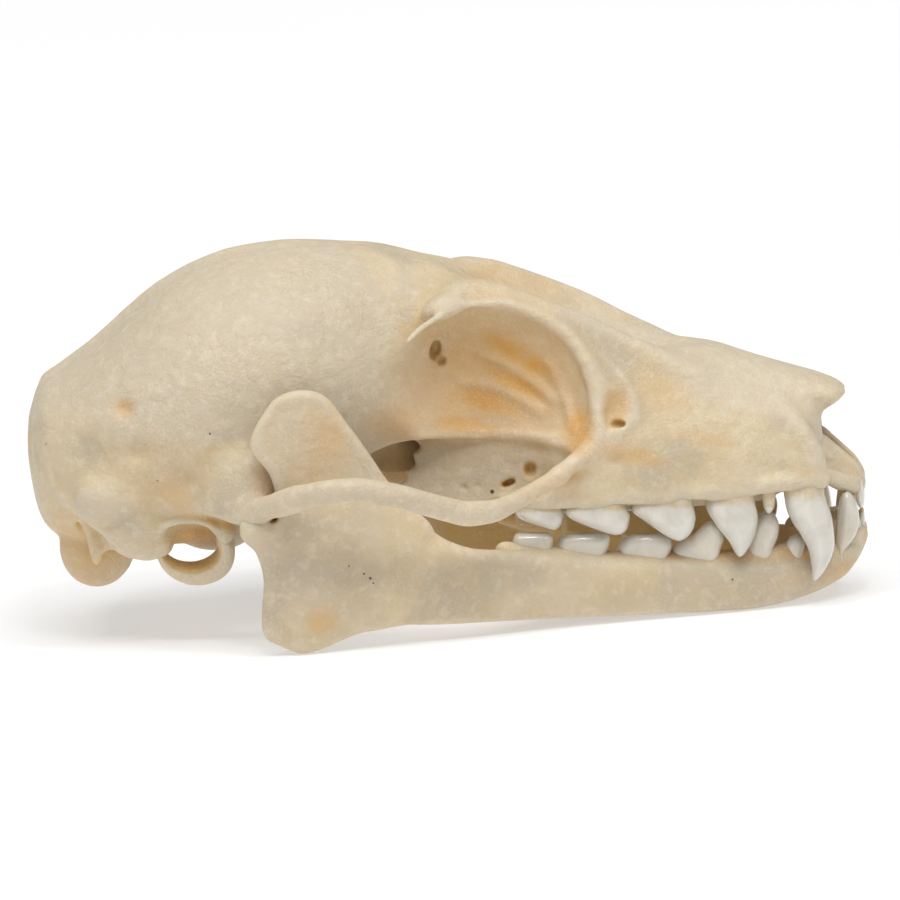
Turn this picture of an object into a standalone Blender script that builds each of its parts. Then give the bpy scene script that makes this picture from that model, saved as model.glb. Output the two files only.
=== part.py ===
"""Skull of a rousette fruit bat with its lower jaw closed, life size, resting on the jaw.

Every size below is in millimetres, in the skull's own frame: x runs forward from the back of the head, y is
the distance from the midline (left is positive), and z is the height. The jaw's two corners and the underside
of its front stand on the floor, so the whole skull is turned nose down a little at the end. All objects are
in metres.
"""

import math
from typing import NamedTuple

import bmesh
import bpy
import numpy as np
from mathutils import Matrix, Vector

MM = 0.001
GAP = 0.3  # clear space between pieces that touch

RING_POINTS = 40
TOOTH_POINTS = 8
ROWS_PER_GAP = 5
VOXEL = 0.2
BONE_SMOOTHING = 3

# The thin cut behind the face, as x and z at the roof and at the palate.
FACE_CUT_ROOF, FACE_CUT_PALATE = (25.6, 17.5), (20.9, 7.5)
# The cuts across the cheek bar, as x and y on its middle line, and how far a cut reaches to each side.
ARCH_CUT_REAR, ARCH_CUT_FRONT = (12.3, 10.55), (22.2, 8.15)
ARCH_CUT_INWARDS, ARCH_CUT_OUTWARDS = 1.6, 3.0
# The cut around the bone under the nose opening: where it starts, and its roof.
PREMAXILLA_CUT_X, PREMAXILLA_CUT_Z = 35.95, 10.7

SKULL_SPAN = 60.0  # longer than anything in the skull, for the cutting blocks


class Section(NamedTuple):
    """One upright cross-section of the braincase or the face."""

    x: float
    top: float
    widest: float
    floor: float
    half_width: float
    roof_power: float = 2.0
    floor_power: float = 2.0


class JawSection(NamedTuple):
    """One upright cross-section of half of the lower jaw."""

    x: float
    y: float
    top: float
    floor: float
    half_thickness: float


class BladeSection(NamedTuple):
    """One level cross-section of the coronoid process."""

    z: float
    rear: float
    front: float
    y: float
    half_thickness: float


class Tooth(NamedTuple):
    """One tooth: where its neck leaves the bone, where its tip is, and the size of its crown."""

    neck: tuple
    tip: tuple
    length: float
    width: float
    shape: str


BRAINCASE = (
    Section(0.0, 11.6, 10.0, 8.1, 2.5),
    Section(0.5, 12.3, 10.1, 6.5, 3.9, 2.0, 2.4),
    Section(1.5, 13.15, 10.2, 5.35, 5.2, 2.0, 2.6),
    Section(3.0, 14.3, 10.4, 5.0, 6.2, 2.0, 2.6),
    Section(4.5, 15.65, 10.6, 5.1, 6.8, 2.0, 2.6),
    Section(6.0, 16.9, 10.8, 5.2, 7.2, 2.0, 2.6),
    Section(8.0, 18.0, 11.2, 5.6, 7.5, 2.0, 2.4),
    Section(10.0, 18.6, 11.6, 6.1, 7.5, 2.0, 2.2),
    Section(12.0, 19.0, 12.0, 6.7, 7.1),
    Section(14.0, 18.95, 12.5, 7.4, 6.2),
    Section(16.0, 18.7, 13.0, 8.2, 4.9),
    Section(17.5, 18.35, 13.4, 8.7, 4.2),
    Section(19.5, 17.7, 13.5, 9.2, 3.6),
)

FACE = (
    Section(15.0, 16.8, 12.8, 9.2, 3.4, 2.4, 2.6),
    Section(18.0, 17.2, 12.2, 8.3, 4.5, 3.4, 3.0),
    Section(20.5, 17.05, 11.6, 7.8, 5.3, 3.9, 4.0),
    Section(22.5, 16.85, 10.9, 7.45, 5.6, 3.6, 5.0),
    Section(24.5, 16.4, 10.2, 7.35, 5.7, 2.9, 5.0),
    Section(26.5, 15.75, 9.8, 7.4, 5.5, 2.2, 5.0),
    Section(28.5, 14.95, 9.6, 7.55, 5.2, 1.9, 5.0),
    Section(31.0, 14.15, 9.6, 7.85, 4.7, 1.8, 5.0),
    Section(33.5, 13.3, 9.6, 7.95, 4.25, 1.8, 5.0),
    Section(35.5, 12.8, 9.6, 8.0, 3.9, 1.8, 4.5),
    Section(36.3, 12.45, 9.8, 8.1, 3.3, 1.9, 3.5),
)

NASALS = (
    Section(29.0, 14.8, 13.4, 12.2, 1.8),
    Section(33.0, 13.5, 12.6, 11.6, 1.9),
    Section(36.0, 12.7, 12.0, 11.2, 1.8),
    Section(36.95, 12.4, 12.1, 11.7, 1.2),
)

# Bars are rows of x, y, z and radius, and stand on both sides where y isn't 0.
SUPRAORBITAL_RIM = (
    (17.3, 6.0, 15.55, 0.3),
    (18.2, 5.5, 16.15, 0.38),
    (19.4, 4.75, 16.72, 0.45),
    (21.3, 4.1, 16.78, 0.5),
    (23.2, 3.9, 16.1, 0.5),
    (24.5, 4.0, 15.2, 0.5),
    (25.2, 4.4, 13.8, 0.48),
    (25.6, 4.9, 12.2, 0.48),
    (25.9, 5.35, 10.8, 0.6),
)
LACRIMAL_RIDGE = (
    (24.9, 3.7, 15.0, 0.4),
    (26.2, 3.95, 13.9, 0.4),
    (27.2, 4.3, 12.7, 0.4),
    (27.4, 4.75, 11.6, 0.4),
    (26.4, 5.2, 10.8, 0.5),
)
CHEEK_ROOT = (
    (26.6, 4.7, 10.1, 1.0),
    (25.6, 5.4, 10.1, 0.8),
    (24.6, 6.3, 9.75, 0.62),
    (24.0, 6.8, 9.32, 0.58),
)
SQUAMOSAL_ROOT = (
    (6.6, 6.2, 7.9, 0.6),
    (8.6, 7.6, 7.85, 0.78),
    (9.9, 8.8, 8.0, 0.72),
    (11.2, 9.95, 8.4, 0.62),
)
ARCH = (
    (11.2, 9.95, 8.4, 0.62),
    (13.0, 10.9, 9.1, 0.6),
    (14.8, 11.15, 9.36, 0.58),
    (16.5, 11.0, 9.1, 0.57),
    (18.2, 10.5, 8.56, 0.57),
    (19.1, 10.05, 8.24, 0.58),
    (20.0, 9.6, 8.0, 0.6),
    (20.9, 9.1, 8.03, 0.6),
    (21.7, 8.5, 8.3, 0.58),
    (22.3, 8.1, 8.54, 0.58),
    (24.0, 6.8, 9.32, 0.58),
)
OCCIPITAL_RIDGE = (
    (0.45, 2.6, 10.9, 0.3),
    (0.6, 3.6, 8.8, 0.35),
    (1.4, 4.8, 8.3, 0.4),
    (2.6, 5.6, 7.4, 0.5),
    (4.1, 6.0, 6.2, 0.55),
    (5.4, 5.8, 5.5, 0.5),
)
PARACONDYLAR_PROCESS = (
    (2.7, 4.5, 7.0, 0.75),
    (3.0, 4.7, 5.8, 0.55),
    (3.1, 4.75, 4.95, 0.38),
)
POSTGLENOID_PROCESS = (
    (9.1, 7.6, 7.6, 0.5),
    (8.9, 7.0, 6.4, 0.36),
)
PTERYGOID = (
    (19.0, 2.6, 8.4, 0.6),
    (17.0, 2.2, 7.7, 0.48),
    (15.0, 1.95, 7.2, 0.45),
    (13.4, 1.95, 7.2, 0.42),
    (12.7, 2.0, 6.5, 0.36),
)
SAGITTAL_CREST = (
    (1.0, 0.0, 12.5, 0.35),
    (3.0, 0.0, 13.95, 0.35),
    (6.0, 0.0, 16.6, 0.35),
    (9.0, 0.0, 18.15, 0.35),
    (12.5, 0.0, 18.75, 0.3),
)
PREMAXILLA = (
    (35.2, 2.4, 10.9, 0.5),
    (36.0, 2.5, 9.9, 0.6),
    (36.4, 2.3, 9.05, 0.65),
    (37.0, 1.6, 8.4, 0.7),
    (37.45, 0.7, 8.05, 0.62),
)

# Lumps are a centre and three radii, and how far they are turned nose down. They stand on both sides where y
# isn't 0.
CONDYLE_OF_SKULL = ((3.1, 2.75, 5.35), (1.75, 1.1, 1.95))
MASTOID = ((5.1, 5.3, 6.6), (1.7, 1.2, 1.45))
EAR_CAPSULE = ((8.4, 3.5, 6.7), (2.1, 1.5, 1.5))
GLENOID = ((10.1, 8.9, 7.8), (1.0, 1.9, 0.55))

# Hollows cut from the bone, as lumps.
ORBIT = ((20.9, 7.6, 13.1), (5.7, 4.9, 5.1))
LACRIMAL_PIT = ((26.5, 5.4, 12.4), (0.7, 0.9, 1.3))
INFRAORBITAL_PIT = ((27.9, 5.9, 9.9), (1.5, 0.8, 0.5))
EAR_RECESS = ((7.5, 7.0, 6.6), (1.5, 1.2, 0.8))
PALATE_VAULT = ((29.0, 0.0, 6.9), (9.0, 3.3, 1.5))
NOSE_OPENING = ((37.4, 0.0, 10.2), (5.5, 1.6, 1.35))
CHOANA = ((14.6, 0.0, 8.0), (3.6, 1.5, 1.1))
# The trough between the brows, and the recess over the upright plate of the palate below each eye socket.
BROW_TROUGH = ((25.0, 0.0, 17.85), (6.5, 2.3, 1.75), math.radians(12))
PALATINE_RECESS = ((19.2, 6.4, 8.6), (4.3, 3.4, 1.75))
# The passage from the neck into the braincase, which opens backwards and down.
FORAMEN_MAGNUM = ((2.6, 0.0, 6.4), (4.2, 2.3, 1.95), math.radians(-35))

JAW = (
    JawSection(10.6, 9.0, 5.9, 2.5, 0.3),
    JawSection(11.3, 8.9, 6.9, 1.55, 0.4),
    JawSection(12.2, 8.75, 7.3, 1.33, 0.45),
    JawSection(13.2, 8.5, 7.5, 1.5, 0.42),
    JawSection(14.2, 8.25, 7.6, 2.05, 0.42),
    JawSection(15.2, 8.0, 7.7, 2.42, 0.45),
    JawSection(16.5, 7.7, 7.8, 2.55, 0.5),
    JawSection(17.4, 7.5, 7.6, 2.52, 0.52),
    JawSection(18.2, 7.25, 6.88, 2.48, 0.6),
    JawSection(19.0, 7.0, 6.35, 2.46, 0.7),
    JawSection(20.0, 6.65, 5.95, 2.45, 0.78),
    JawSection(21.5, 6.1, 5.75, 2.44, 0.83),
    JawSection(24.0, 5.2, 5.3, 2.42, 0.9),
    JawSection(26.5, 4.5, 5.0, 2.4, 0.9),
    JawSection(29.0, 3.95, 4.8, 2.42, 0.9),
    JawSection(31.5, 3.4, 4.8, 2.44, 0.9),
    JawSection(33.2, 2.9, 4.85, 2.51, 0.95),
    JawSection(35.0, 2.2, 4.8, 2.76, 1.05),
    JawSection(36.5, 1.5, 4.85, 3.35, 1.0),
    JawSection(37.4, 0.95, 5.15, 4.35, 0.75),
    JawSection(38.0, 0.65, 5.35, 4.9, 0.4),
)
JAW_POWER = 2.6
CORONOID = (
    BladeSection(6.9, 11.9, 17.4, 8.3, 0.44),
    BladeSection(8.9, 11.5, 16.4, 8.35, 0.4),
    BladeSection(9.9, 10.45, 15.8, 8.35, 0.38),
    BladeSection(11.0, 10.15, 15.0, 8.3, 0.37),
    BladeSection(12.0, 10.45, 14.35, 8.25, 0.36),
    BladeSection(12.9, 11.2, 13.7, 8.2, 0.35),
    BladeSection(13.35, 11.75, 13.1, 8.15, 0.32),
)
BLADE_POWER = 3.0
CONDYLE_OF_JAW = ((10.4, 8.9, 6.3), (0.75, 1.55, 0.6))
CHIN = ((35.3, 0.7, 4.1), (1.9, 1.5, 0.9))

RING_CENTRE = (7.6, 5.6, 5.46)
RING_RADIUS, RING_THICKNESS, RING_HALF_DEPTH = 1.5, 0.3, 0.55
RING_TURN = math.radians(27)

# The share of the way from neck to tip, and the share of the full crown size there. The root comes first.
TOOTH_SHAPES = {
    "fang": ((-0.3, 0.75), (0.0, 0.92), (0.16, 1.0), (0.45, 0.78), (0.75, 0.48), (1.0, 0.1)),
    "cusp": ((-0.45, 0.6), (0.0, 0.82), (0.28, 1.0), (0.62, 0.68), (0.86, 0.36), (1.0, 0.12)),
    "molar": ((-0.7, 0.6), (0.0, 0.8), (0.35, 1.0), (0.7, 0.86), (0.92, 0.5), (1.0, 0.25)),
    "peg": ((-0.6, 0.7), (0.0, 0.85), (0.4, 1.0), (0.8, 0.8), (1.0, 0.4)),
}
UPPER_TEETH = (
    Tooth((35.1, 3.3, 8.05), (35.55, 3.75, 3.8), 2.1, 1.5, "fang"),
    Tooth((33.6, 3.6, 8.0), (33.7, 3.6, 7.4), 0.6, 0.6, "peg"),
    Tooth((31.8, 4.2, 7.95), (32.2, 4.5, 5.05), 2.3, 1.5, "cusp"),
    Tooth((28.7, 4.55, 7.6), (29.4, 4.95, 5.9), 2.8, 1.6, "molar"),
    Tooth((25.7, 4.75, 7.45), (26.4, 5.15, 6.2), 2.8, 1.6, "molar"),
    Tooth((23.1, 4.75, 7.4), (23.6, 5.1, 6.45), 2.1, 1.4, "molar"),
)
UPPER_INCISORS = (
    Tooth((37.65, 0.55, 7.8), (37.8, 0.5, 6.6), 0.55, 0.55, "peg"),
    Tooth((37.35, 1.35, 7.95), (37.45, 1.3, 6.8), 0.55, 0.55, "peg"),
)
LOWER_TEETH = (
    Tooth((37.8, 0.55, 5.2), (38.0, 0.5, 6.2), 0.5, 0.5, "peg"),
    Tooth((37.5, 1.1, 5.1), (37.7, 1.05, 6.0), 0.5, 0.5, "peg"),
    Tooth((36.6, 1.95, 4.8), (37.05, 2.15, 7.35), 1.15, 0.95, "fang"),
    Tooth((34.85, 2.4, 4.8), (34.85, 2.4, 5.75), 0.95, 0.8, "peg"),
    Tooth((33.4, 2.75, 4.85), (33.55, 2.8, 6.95), 1.15, 0.95, "cusp"),
    Tooth((30.3, 3.3, 4.8), (30.8, 3.3, 6.55), 2.3, 1.05, "cusp"),
    Tooth((27.95, 3.6, 4.85), (28.0, 3.5, 6.15), 2.3, 1.1, "molar"),
    Tooth((25.1, 4.0, 5.1), (25.1, 3.8, 6.3), 2.35, 1.1, "molar"),
    Tooth((22.8, 4.35, 5.45), (22.8, 4.1, 6.35), 1.75, 1.0, "molar"),
)

# Triangles that each bone keeps, before it is parted and its teeth are set.
CRANIUM_TRIANGLES, JAW_TRIANGLES, RING_TRIANGLES = 8200, 1500, 360

BONE_COLOUR, BONE_ROUGHNESS = (0.78, 0.68, 0.52, 1.0), 0.55


def clear_scene():
    """Removes the objects that the scene starts with."""
    for obj in list(bpy.data.objects):
        bpy.data.objects.remove(obj, do_unlink=True)


def bone_material(name):
    """The dry ivory bone of one piece."""
    material = bpy.data.materials.new(name)
    material.use_nodes = True
    shader = material.node_tree.nodes["Principled BSDF"]
    shader.inputs["Base Color"].default_value = BONE_COLOUR
    shader.inputs["Roughness"].default_value = BONE_ROUGHNESS
    shader.inputs["Metallic"].default_value = 0.0
    return material


def new_object(name, mesh):
    """An object of that mesh, linked to the scene."""
    obj = bpy.data.objects.new(name, mesh)
    bpy.context.scene.collection.objects.link(obj)
    return obj


def from_bmesh(name, bm):
    """An object of what a bmesh holds, which is then freed."""
    mesh = bpy.data.meshes.new(name)
    bm.to_mesh(mesh)
    bm.free()
    return new_object(name, mesh)


def eased(rows, along):
    """Rows on a smooth line through the given ones, which doesn't overshoot at a peak."""
    rows = np.array(rows, float)
    secant = np.diff(rows, axis=0) / np.diff(along)[:, None]
    slope = np.vstack([secant[:1], (secant[:-1] + secant[1:]) / 2, secant[-1:]])
    peak = secant[:-1] * secant[1:] <= 0
    slope[1:-1][peak] = 0
    made = []
    for i, step in enumerate(np.diff(along)):
        for s in np.linspace(0, 1, ROWS_PER_GAP, endpoint=False):
            made.append(
                (2 * s**3 - 3 * s**2 + 1) * rows[i]
                + (s**3 - 2 * s**2 + s) * step * slope[i]
                + (3 * s**2 - 2 * s**3) * rows[i + 1]
                + (s**3 - s**2) * step * slope[i + 1]
            )
    return np.array([*made, rows[-1]])


def eased_sections(sections):
    """Cross-sections on a smooth line through the given ones, along their first value."""
    return eased(sections, [section[0] for section in sections])


def superellipse(count, half_width, rise, fall, roof_power=2.0, floor_power=2.0):
    """Points (across, up) of a rounded outline, with its own shape above and below its widest level."""
    points = []
    for i in range(count):
        angle = 2 * math.pi * i / count
        c, s = math.cos(angle), math.sin(angle)
        power = roof_power if s >= 0 else floor_power
        height = rise if s >= 0 else fall
        across = half_width * math.copysign(abs(c) ** (2 / power), c)
        up = height * math.copysign(abs(s) ** (2 / power), s)
        points.append((across, up))
    return points


def loft(name, rings):
    """A closed body through rings of points in millimetres, capped at both ends."""
    bm = bmesh.new()
    made = [[bm.verts.new(Vector(point) * MM) for point in ring] for ring in rings]
    for ring, after in zip(made, made[1:]):
        for i in range(len(ring)):
            bm.faces.new((ring[i - 1], ring[i], after[i], after[i - 1]))
    bm.faces.new(made[0])
    bm.faces.new(reversed(made[-1]))
    bmesh.ops.recalc_face_normals(bm, faces=bm.faces)
    return from_bmesh(name, bm)


def section_body(name, sections):
    """The braincase, the face or the nasal bones from upright cross-sections."""
    rings = []
    for x, top, widest, floor, half_width, roof_power, floor_power in eased_sections(sections):
        rise, fall = top - widest, widest - floor
        outline = superellipse(RING_POINTS, half_width, rise, fall, roof_power, floor_power)
        rings.append([(x, across, widest + up) for across, up in outline])
    return loft(name, rings)


def jaw_body(name, sections):
    """The body and the corner of half of the lower jaw."""
    rings = []
    for x, y, top, floor, half_thickness in eased_sections(sections):
        half = (top - floor) / 2
        outline = superellipse(RING_POINTS, half_thickness, half, half, JAW_POWER, JAW_POWER)
        rings.append([(x, y + across, floor + half + up) for across, up in outline])
    return loft(name, rings)


def blade_body(name, sections):
    """The coronoid process, a blade that stands on the jaw."""
    rings = []
    for z, rear, front, y, half_thickness in eased_sections(sections):
        half = (front - rear) / 2
        outline = superellipse(RING_POINTS, half_thickness, half, half, BLADE_POWER, BLADE_POWER)
        rings.append([(rear + half + up, y + across, z) for across, up in outline])
    return loft(name, rings)


def bar(name, rows, side=1):
    """A round bar of varying radius along a smooth line."""
    rows = np.array(rows, float) * (1, side, 1, 1)
    lengths = np.linalg.norm(np.diff(rows[:, :3], axis=0), axis=1)
    rows = eased(rows, np.concatenate([[0], np.cumsum(lengths)]))
    curve = bpy.data.curves.new(name, "CURVE")
    curve.dimensions = "3D"
    curve.bevel_depth = MM
    curve.bevel_resolution = 3
    curve.use_fill_caps = True
    spline = curve.splines.new("POLY")
    spline.points.add(len(rows) - 1)
    for point, (x, y, z, radius) in zip(spline.points, rows):
        point.co = (x * MM, y * MM, z * MM, 1)
        point.radius = radius
    return applied(new_object(name, curve))


def lump(name, centre, radii, turn=0.0, side=1):
    """A rounded swelling or hollow: a sphere drawn out to three radii, and turned nose down."""
    bm = bmesh.new()
    bmesh.ops.create_uvsphere(bm, u_segments=32, v_segments=16, radius=MM)
    x, y, z = centre
    place = Matrix.Translation(Vector((x, side * y, z)) * MM) @ Matrix.Rotation(turn, 4, "Y")
    bmesh.ops.transform(bm, matrix=place @ Matrix.Diagonal((*radii, 1)), verts=bm.verts)
    return from_bmesh(name, bm)


def block(name, low, high):
    """A box between two corners in millimetres."""
    bm = bmesh.new()
    bmesh.ops.create_cube(bm, size=1)
    low, high = Vector(low) * MM, Vector(high) * MM
    place = Matrix.Translation((low + high) / 2) @ Matrix.Diagonal((*(high - low), 1))
    bmesh.ops.transform(bm, matrix=place, verts=bm.verts)
    return from_bmesh(name, bm)


def tooth_body(name, tooth, side=1):
    """One tooth as rings from inside the bone to its tip."""
    neck = Vector(tooth.neck)
    way = Vector(tooth.tip) - neck
    rings = []
    for share, size in TOOTH_SHAPES[tooth.shape]:
        half_length = tooth.length / 2 * size
        outline = superellipse(TOOTH_POINTS, tooth.width / 2 * size, half_length, half_length)
        # The crown leans towards its tip only past the neck, as a curved tooth does.
        lean = max(share, 0.0) ** 1.5
        x, y, z = neck.x + way.x * lean, neck.y + way.y * lean, neck.z + way.z * share
        rings.append([(x + up, side * (y + across), z) for across, up in outline])
    return loft(name, rings)


def applied(obj):
    """The object as a plain mesh with all that its bevel or its modifiers do, in place of it."""
    bpy.context.view_layer.update()
    graph = bpy.context.evaluated_depsgraph_get()
    name = obj.name
    mesh = bpy.data.meshes.new_from_object(obj.evaluated_get(graph))
    bm = bmesh.new()
    bm.from_mesh(mesh)
    bmesh.ops.remove_doubles(bm, verts=bm.verts, dist=1e-7)
    bmesh.ops.recalc_face_normals(bm, faces=bm.faces)
    bm.to_mesh(mesh)
    bm.free()
    made = new_object("applied", mesh)
    made.matrix_world = obj.matrix_world
    bpy.data.objects.remove(obj, do_unlink=True)
    made.name = name
    return made


def combined(obj, others, operation):
    """The object after one Boolean with a collection of closed meshes, which are then removed."""
    group = bpy.data.collections.new("others")
    bpy.context.scene.collection.children.link(group)
    for other in others:
        group.objects.link(other)
        bpy.context.scene.collection.objects.unlink(other)
    change = obj.modifiers.new("change", "BOOLEAN")
    change.operation = operation
    change.operand_type = "COLLECTION"
    # The exact solver is slow on this many rounded pieces, and now and then drops one.
    change.solver = "MANIFOLD"
    change.collection = group
    obj = applied(obj)
    for other in list(group.objects):
        bpy.data.objects.remove(other, do_unlink=True)
    bpy.data.collections.remove(group)
    return largest_part(obj)


def largest_part(obj):
    """Keeps only the largest closed surface, so that no loose scrap stays."""
    bm = bmesh.new()
    bm.from_mesh(obj.data)
    unseen = set(bm.verts)
    parts = []
    while unseen:
        stack = [unseen.pop()]
        part = set(stack)
        while stack:
            for edge in stack.pop().link_edges:
                for vert in edge.verts:
                    if vert in unseen:
                        unseen.remove(vert)
                        part.add(vert)
                        stack.append(vert)
        parts.append(part)
    keep = max(parts, key=len)
    bmesh.ops.delete(bm, geom=[v for v in bm.verts if v not in keep], context="VERTS")
    bm.to_mesh(obj.data)
    bm.free()
    return obj


def rounded(obj, triangles):
    """One smooth skin over the joined pieces, thinned to about that many triangles."""
    remesh = obj.modifiers.new("skin", "REMESH")
    remesh.mode = "VOXEL"
    remesh.voxel_size = VOXEL * MM
    smooth = obj.modifiers.new("soften", "SMOOTH")
    smooth.factor = 0.5
    smooth.iterations = BONE_SMOOTHING
    obj = largest_part(applied(obj))
    thin = obj.modifiers.new("thin", "DECIMATE")
    thin.ratio = triangles / (2 * len(obj.data.polygons))
    return largest_part(applied(obj))


def swollen(obj):
    """A copy that stands out from the object by the gap that neighbours keep."""
    copy = copy_of(obj, obj.name + "_room")
    swell = copy.modifiers.new("swell", "DISPLACE")
    swell.mid_level = 0
    swell.strength = GAP * MM
    # A new skin takes away the folds that swelling leaves in the hollows.
    skin = copy.modifiers.new("skin", "REMESH")
    skin.mode = "VOXEL"
    skin.voxel_size = VOXEL * MM
    return largest_part(applied(copy))


def copy_of(obj, name):
    """A second object of the same shape."""
    return new_object(name, obj.data.copy())


def mirrored(obj, name):
    """The same piece for the right side."""
    other = copy_of(obj, name)
    other.data.transform(Matrix.Scale(-1, 4, (0, 1, 0)))
    other.data.flip_normals()
    return other


def both_sides(make, name, *shape):
    """A left and a right piece of the same shape."""
    return [make(f"{name}_{side}", *shape, side=side) for side in (1, -1)]


def eye_rims(name):
    """The ridges and the cheek bars around the eye sockets, which the sockets' hollows don't reach."""
    pieces = []
    for part, rows in (
        ("rim", SUPRAORBITAL_RIM),
        ("lacrimal", LACRIMAL_RIDGE),
        ("cheek", CHEEK_ROOT),
        ("arch", ARCH),
    ):
        pieces += both_sides(bar, f"{part}_{name}", rows)
    return pieces


def bone_pieces():
    """All that stands out from the braincase, apart from the teeth."""
    pieces = [section_body("face", FACE), section_body("nasals", NASALS), bar("crest", SAGITTAL_CREST)]
    pieces += eye_rims("base")
    for name, rows in (
        ("squamosal_root", SQUAMOSAL_ROOT),
        ("occipital_ridge", OCCIPITAL_RIDGE),
        ("paracondylar", PARACONDYLAR_PROCESS),
        ("postglenoid", POSTGLENOID_PROCESS),
        ("pterygoid", PTERYGOID),
        ("premaxilla", PREMAXILLA),
    ):
        pieces += both_sides(bar, name, rows)
    for name, shape in (
        ("condyle", CONDYLE_OF_SKULL),
        ("mastoid", MASTOID),
        ("capsule", EAR_CAPSULE),
        ("glenoid", GLENOID),
    ):
        pieces += both_sides(lump, name, *shape)
    return pieces


def bone_hollows():
    """All that is open in the braincase and the face."""
    hollows = []
    for name, shape in (
        ("orbit", ORBIT),
        ("lacrimal_pit", LACRIMAL_PIT),
        ("infraorbital_pit", INFRAORBITAL_PIT),
        ("ear_recess", EAR_RECESS),
        ("palatine_recess", PALATINE_RECESS),
    ):
        hollows += both_sides(lump, name, *shape)
    for name, shape in (
        ("vault", PALATE_VAULT),
        ("nose", NOSE_OPENING),
        ("choana", CHOANA),
        ("trough", BROW_TROUGH),
        ("foramen_magnum", FORAMEN_MAGNUM),
    ):
        hollows.append(lump(name, *shape))
    return hollows


def cranium():
    """All of the skull above the lower jaw as one bone, still without teeth."""
    bone = combined(section_body("cranium", BRAINCASE), bone_pieces(), "UNION")
    bone = combined(bone, bone_hollows(), "DIFFERENCE")
    bone = combined(bone, eye_rims("again"), "UNION")
    return rounded(bone, CRANIUM_TRIANGLES)


def face_block(in_front):
    """A block over all that lies in front of the face's cut, or behind it."""
    (roof_x, roof_z), (palate_x, palate_z) = FACE_CUT_ROOF, FACE_CUT_PALATE
    lean = math.atan2(roof_x - palate_x, roof_z - palate_z)
    half = SKULL_SPAN / 2
    low, high = (GAP / 2, SKULL_SPAN) if in_front else (-SKULL_SPAN, -GAP / 2)
    side = block("face_block", (low, -half, -half), (high, half, half))
    side.data.transform(Matrix.Rotation(lean, 4, "Y"))
    side.data.transform(Matrix.Translation(Vector((palate_x, 0, palate_z)) * MM))
    return side


def arch_block(grow=0.0, side=1):
    """A block over the free part of a cheek bar, which grows at the two cuts to leave the gap there."""
    rear, front = Vector(ARCH_CUT_REAR), Vector(ARCH_CUT_FRONT)
    along = (front - rear).normalized()
    out = Vector((-along.y, along.x))
    rear, front = rear - along * grow, front + along * grow
    corners = (
        rear - out * ARCH_CUT_INWARDS,
        front - out * ARCH_CUT_INWARDS,
        front + out * ARCH_CUT_OUTWARDS,
        rear + out * ARCH_CUT_OUTWARDS,
    )
    return loft("arch_block", [[(p.x, side * p.y, z) for p in corners] for z in (0, SKULL_SPAN)])


def premaxilla_block(grow=0.0):
    """A block over the two bones under the nose opening, which grows to leave the gap."""
    low = (PREMAXILLA_CUT_X - grow, -SKULL_SPAN, 0)
    return block("premaxilla_block", low, (SKULL_SPAN, SKULL_SPAN, PREMAXILLA_CUT_Z + grow))


def midline_block():
    """A block over the right side and the gap at the midline."""
    low = (-SKULL_SPAN, -SKULL_SPAN, -SKULL_SPAN)
    return block("midline_block", low, (SKULL_SPAN, GAP / 2, SKULL_SPAN))


def tooth_row(name, teeth):
    """The left teeth of one row."""
    return [tooth_body(f"{name}_{i}", tooth) for i, tooth in enumerate(teeth)]


def braincase(whole):
    """The back of the cranium, up to the cut behind the face."""
    bone = combined(copy_of(whole, "braincase"), [face_block(in_front=False)], "INTERSECT")
    return combined(bone, [arch_block(GAP, side) for side in (1, -1)], "DIFFERENCE")


def rostrum(whole):
    """The face with its upper teeth."""
    bone = combined(copy_of(whole, "rostrum"), [face_block(in_front=True)], "INTERSECT")
    cuts = [arch_block(GAP, side) for side in (1, -1)]
    bone = combined(bone, [*cuts, premaxilla_block(GAP)], "DIFFERENCE")
    teeth = []
    for i, tooth in enumerate(UPPER_TEETH):
        teeth += both_sides(tooth_body, f"upper_{i}", tooth)
    return combined(bone, teeth, "UNION")


def zygomatic_arch(whole):
    """The free part of the left cheek bar."""
    return combined(copy_of(whole, "zygomatic_arch_left"), [arch_block()], "INTERSECT")


def premaxilla(whole):
    """The left bone under the nose opening, with its two incisors."""
    bone = combined(copy_of(whole, "premaxilla_left"), [premaxilla_block()], "INTERSECT")
    bone = combined(bone, tooth_row("incisor", UPPER_INCISORS), "UNION")
    return combined(bone, [midline_block()], "DIFFERENCE")


def mandible():
    """The left half of the lower jaw, with its teeth."""
    bone = jaw_body("mandible_left", JAW)
    pieces = [blade_body("coronoid", CORONOID), lump("condyle", *CONDYLE_OF_JAW), lump("chin", *CHIN)]
    bone = rounded(combined(bone, pieces, "UNION"), JAW_TRIANGLES)
    bone = combined(bone, tooth_row("lower", LOWER_TEETH), "UNION")
    return combined(bone, [midline_block()], "DIFFERENCE")


def disc(name, radius, half_depth):
    """A short round rod across the left ear opening, facing out and down."""
    bm = bmesh.new()
    size = {"radius1": radius * MM, "radius2": radius * MM, "depth": 2 * half_depth * MM}
    bmesh.ops.create_cone(bm, cap_ends=True, segments=32, **size)
    rod = from_bmesh(name, bm)
    rod.data.transform(Matrix.Rotation(-math.pi / 2 - RING_TURN, 4, "X"))
    rod.data.transform(Matrix.Translation(Vector(RING_CENTRE) * MM))
    return rod


def tympanic_ring(neighbour):
    """The left ring that held the ear drum, cut clear of the skull behind it."""
    ring = disc("tympanic_ring_left", RING_RADIUS + RING_THICKNESS, RING_HALF_DEPTH)
    hole = disc("hole", RING_RADIUS - RING_THICKNESS, 2 * RING_HALF_DEPTH)
    ring = combined(ring, [hole], "DIFFERENCE")
    return combined(rounded(ring, RING_TRIANGLES), [swollen(neighbour)], "DIFFERENCE")


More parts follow.
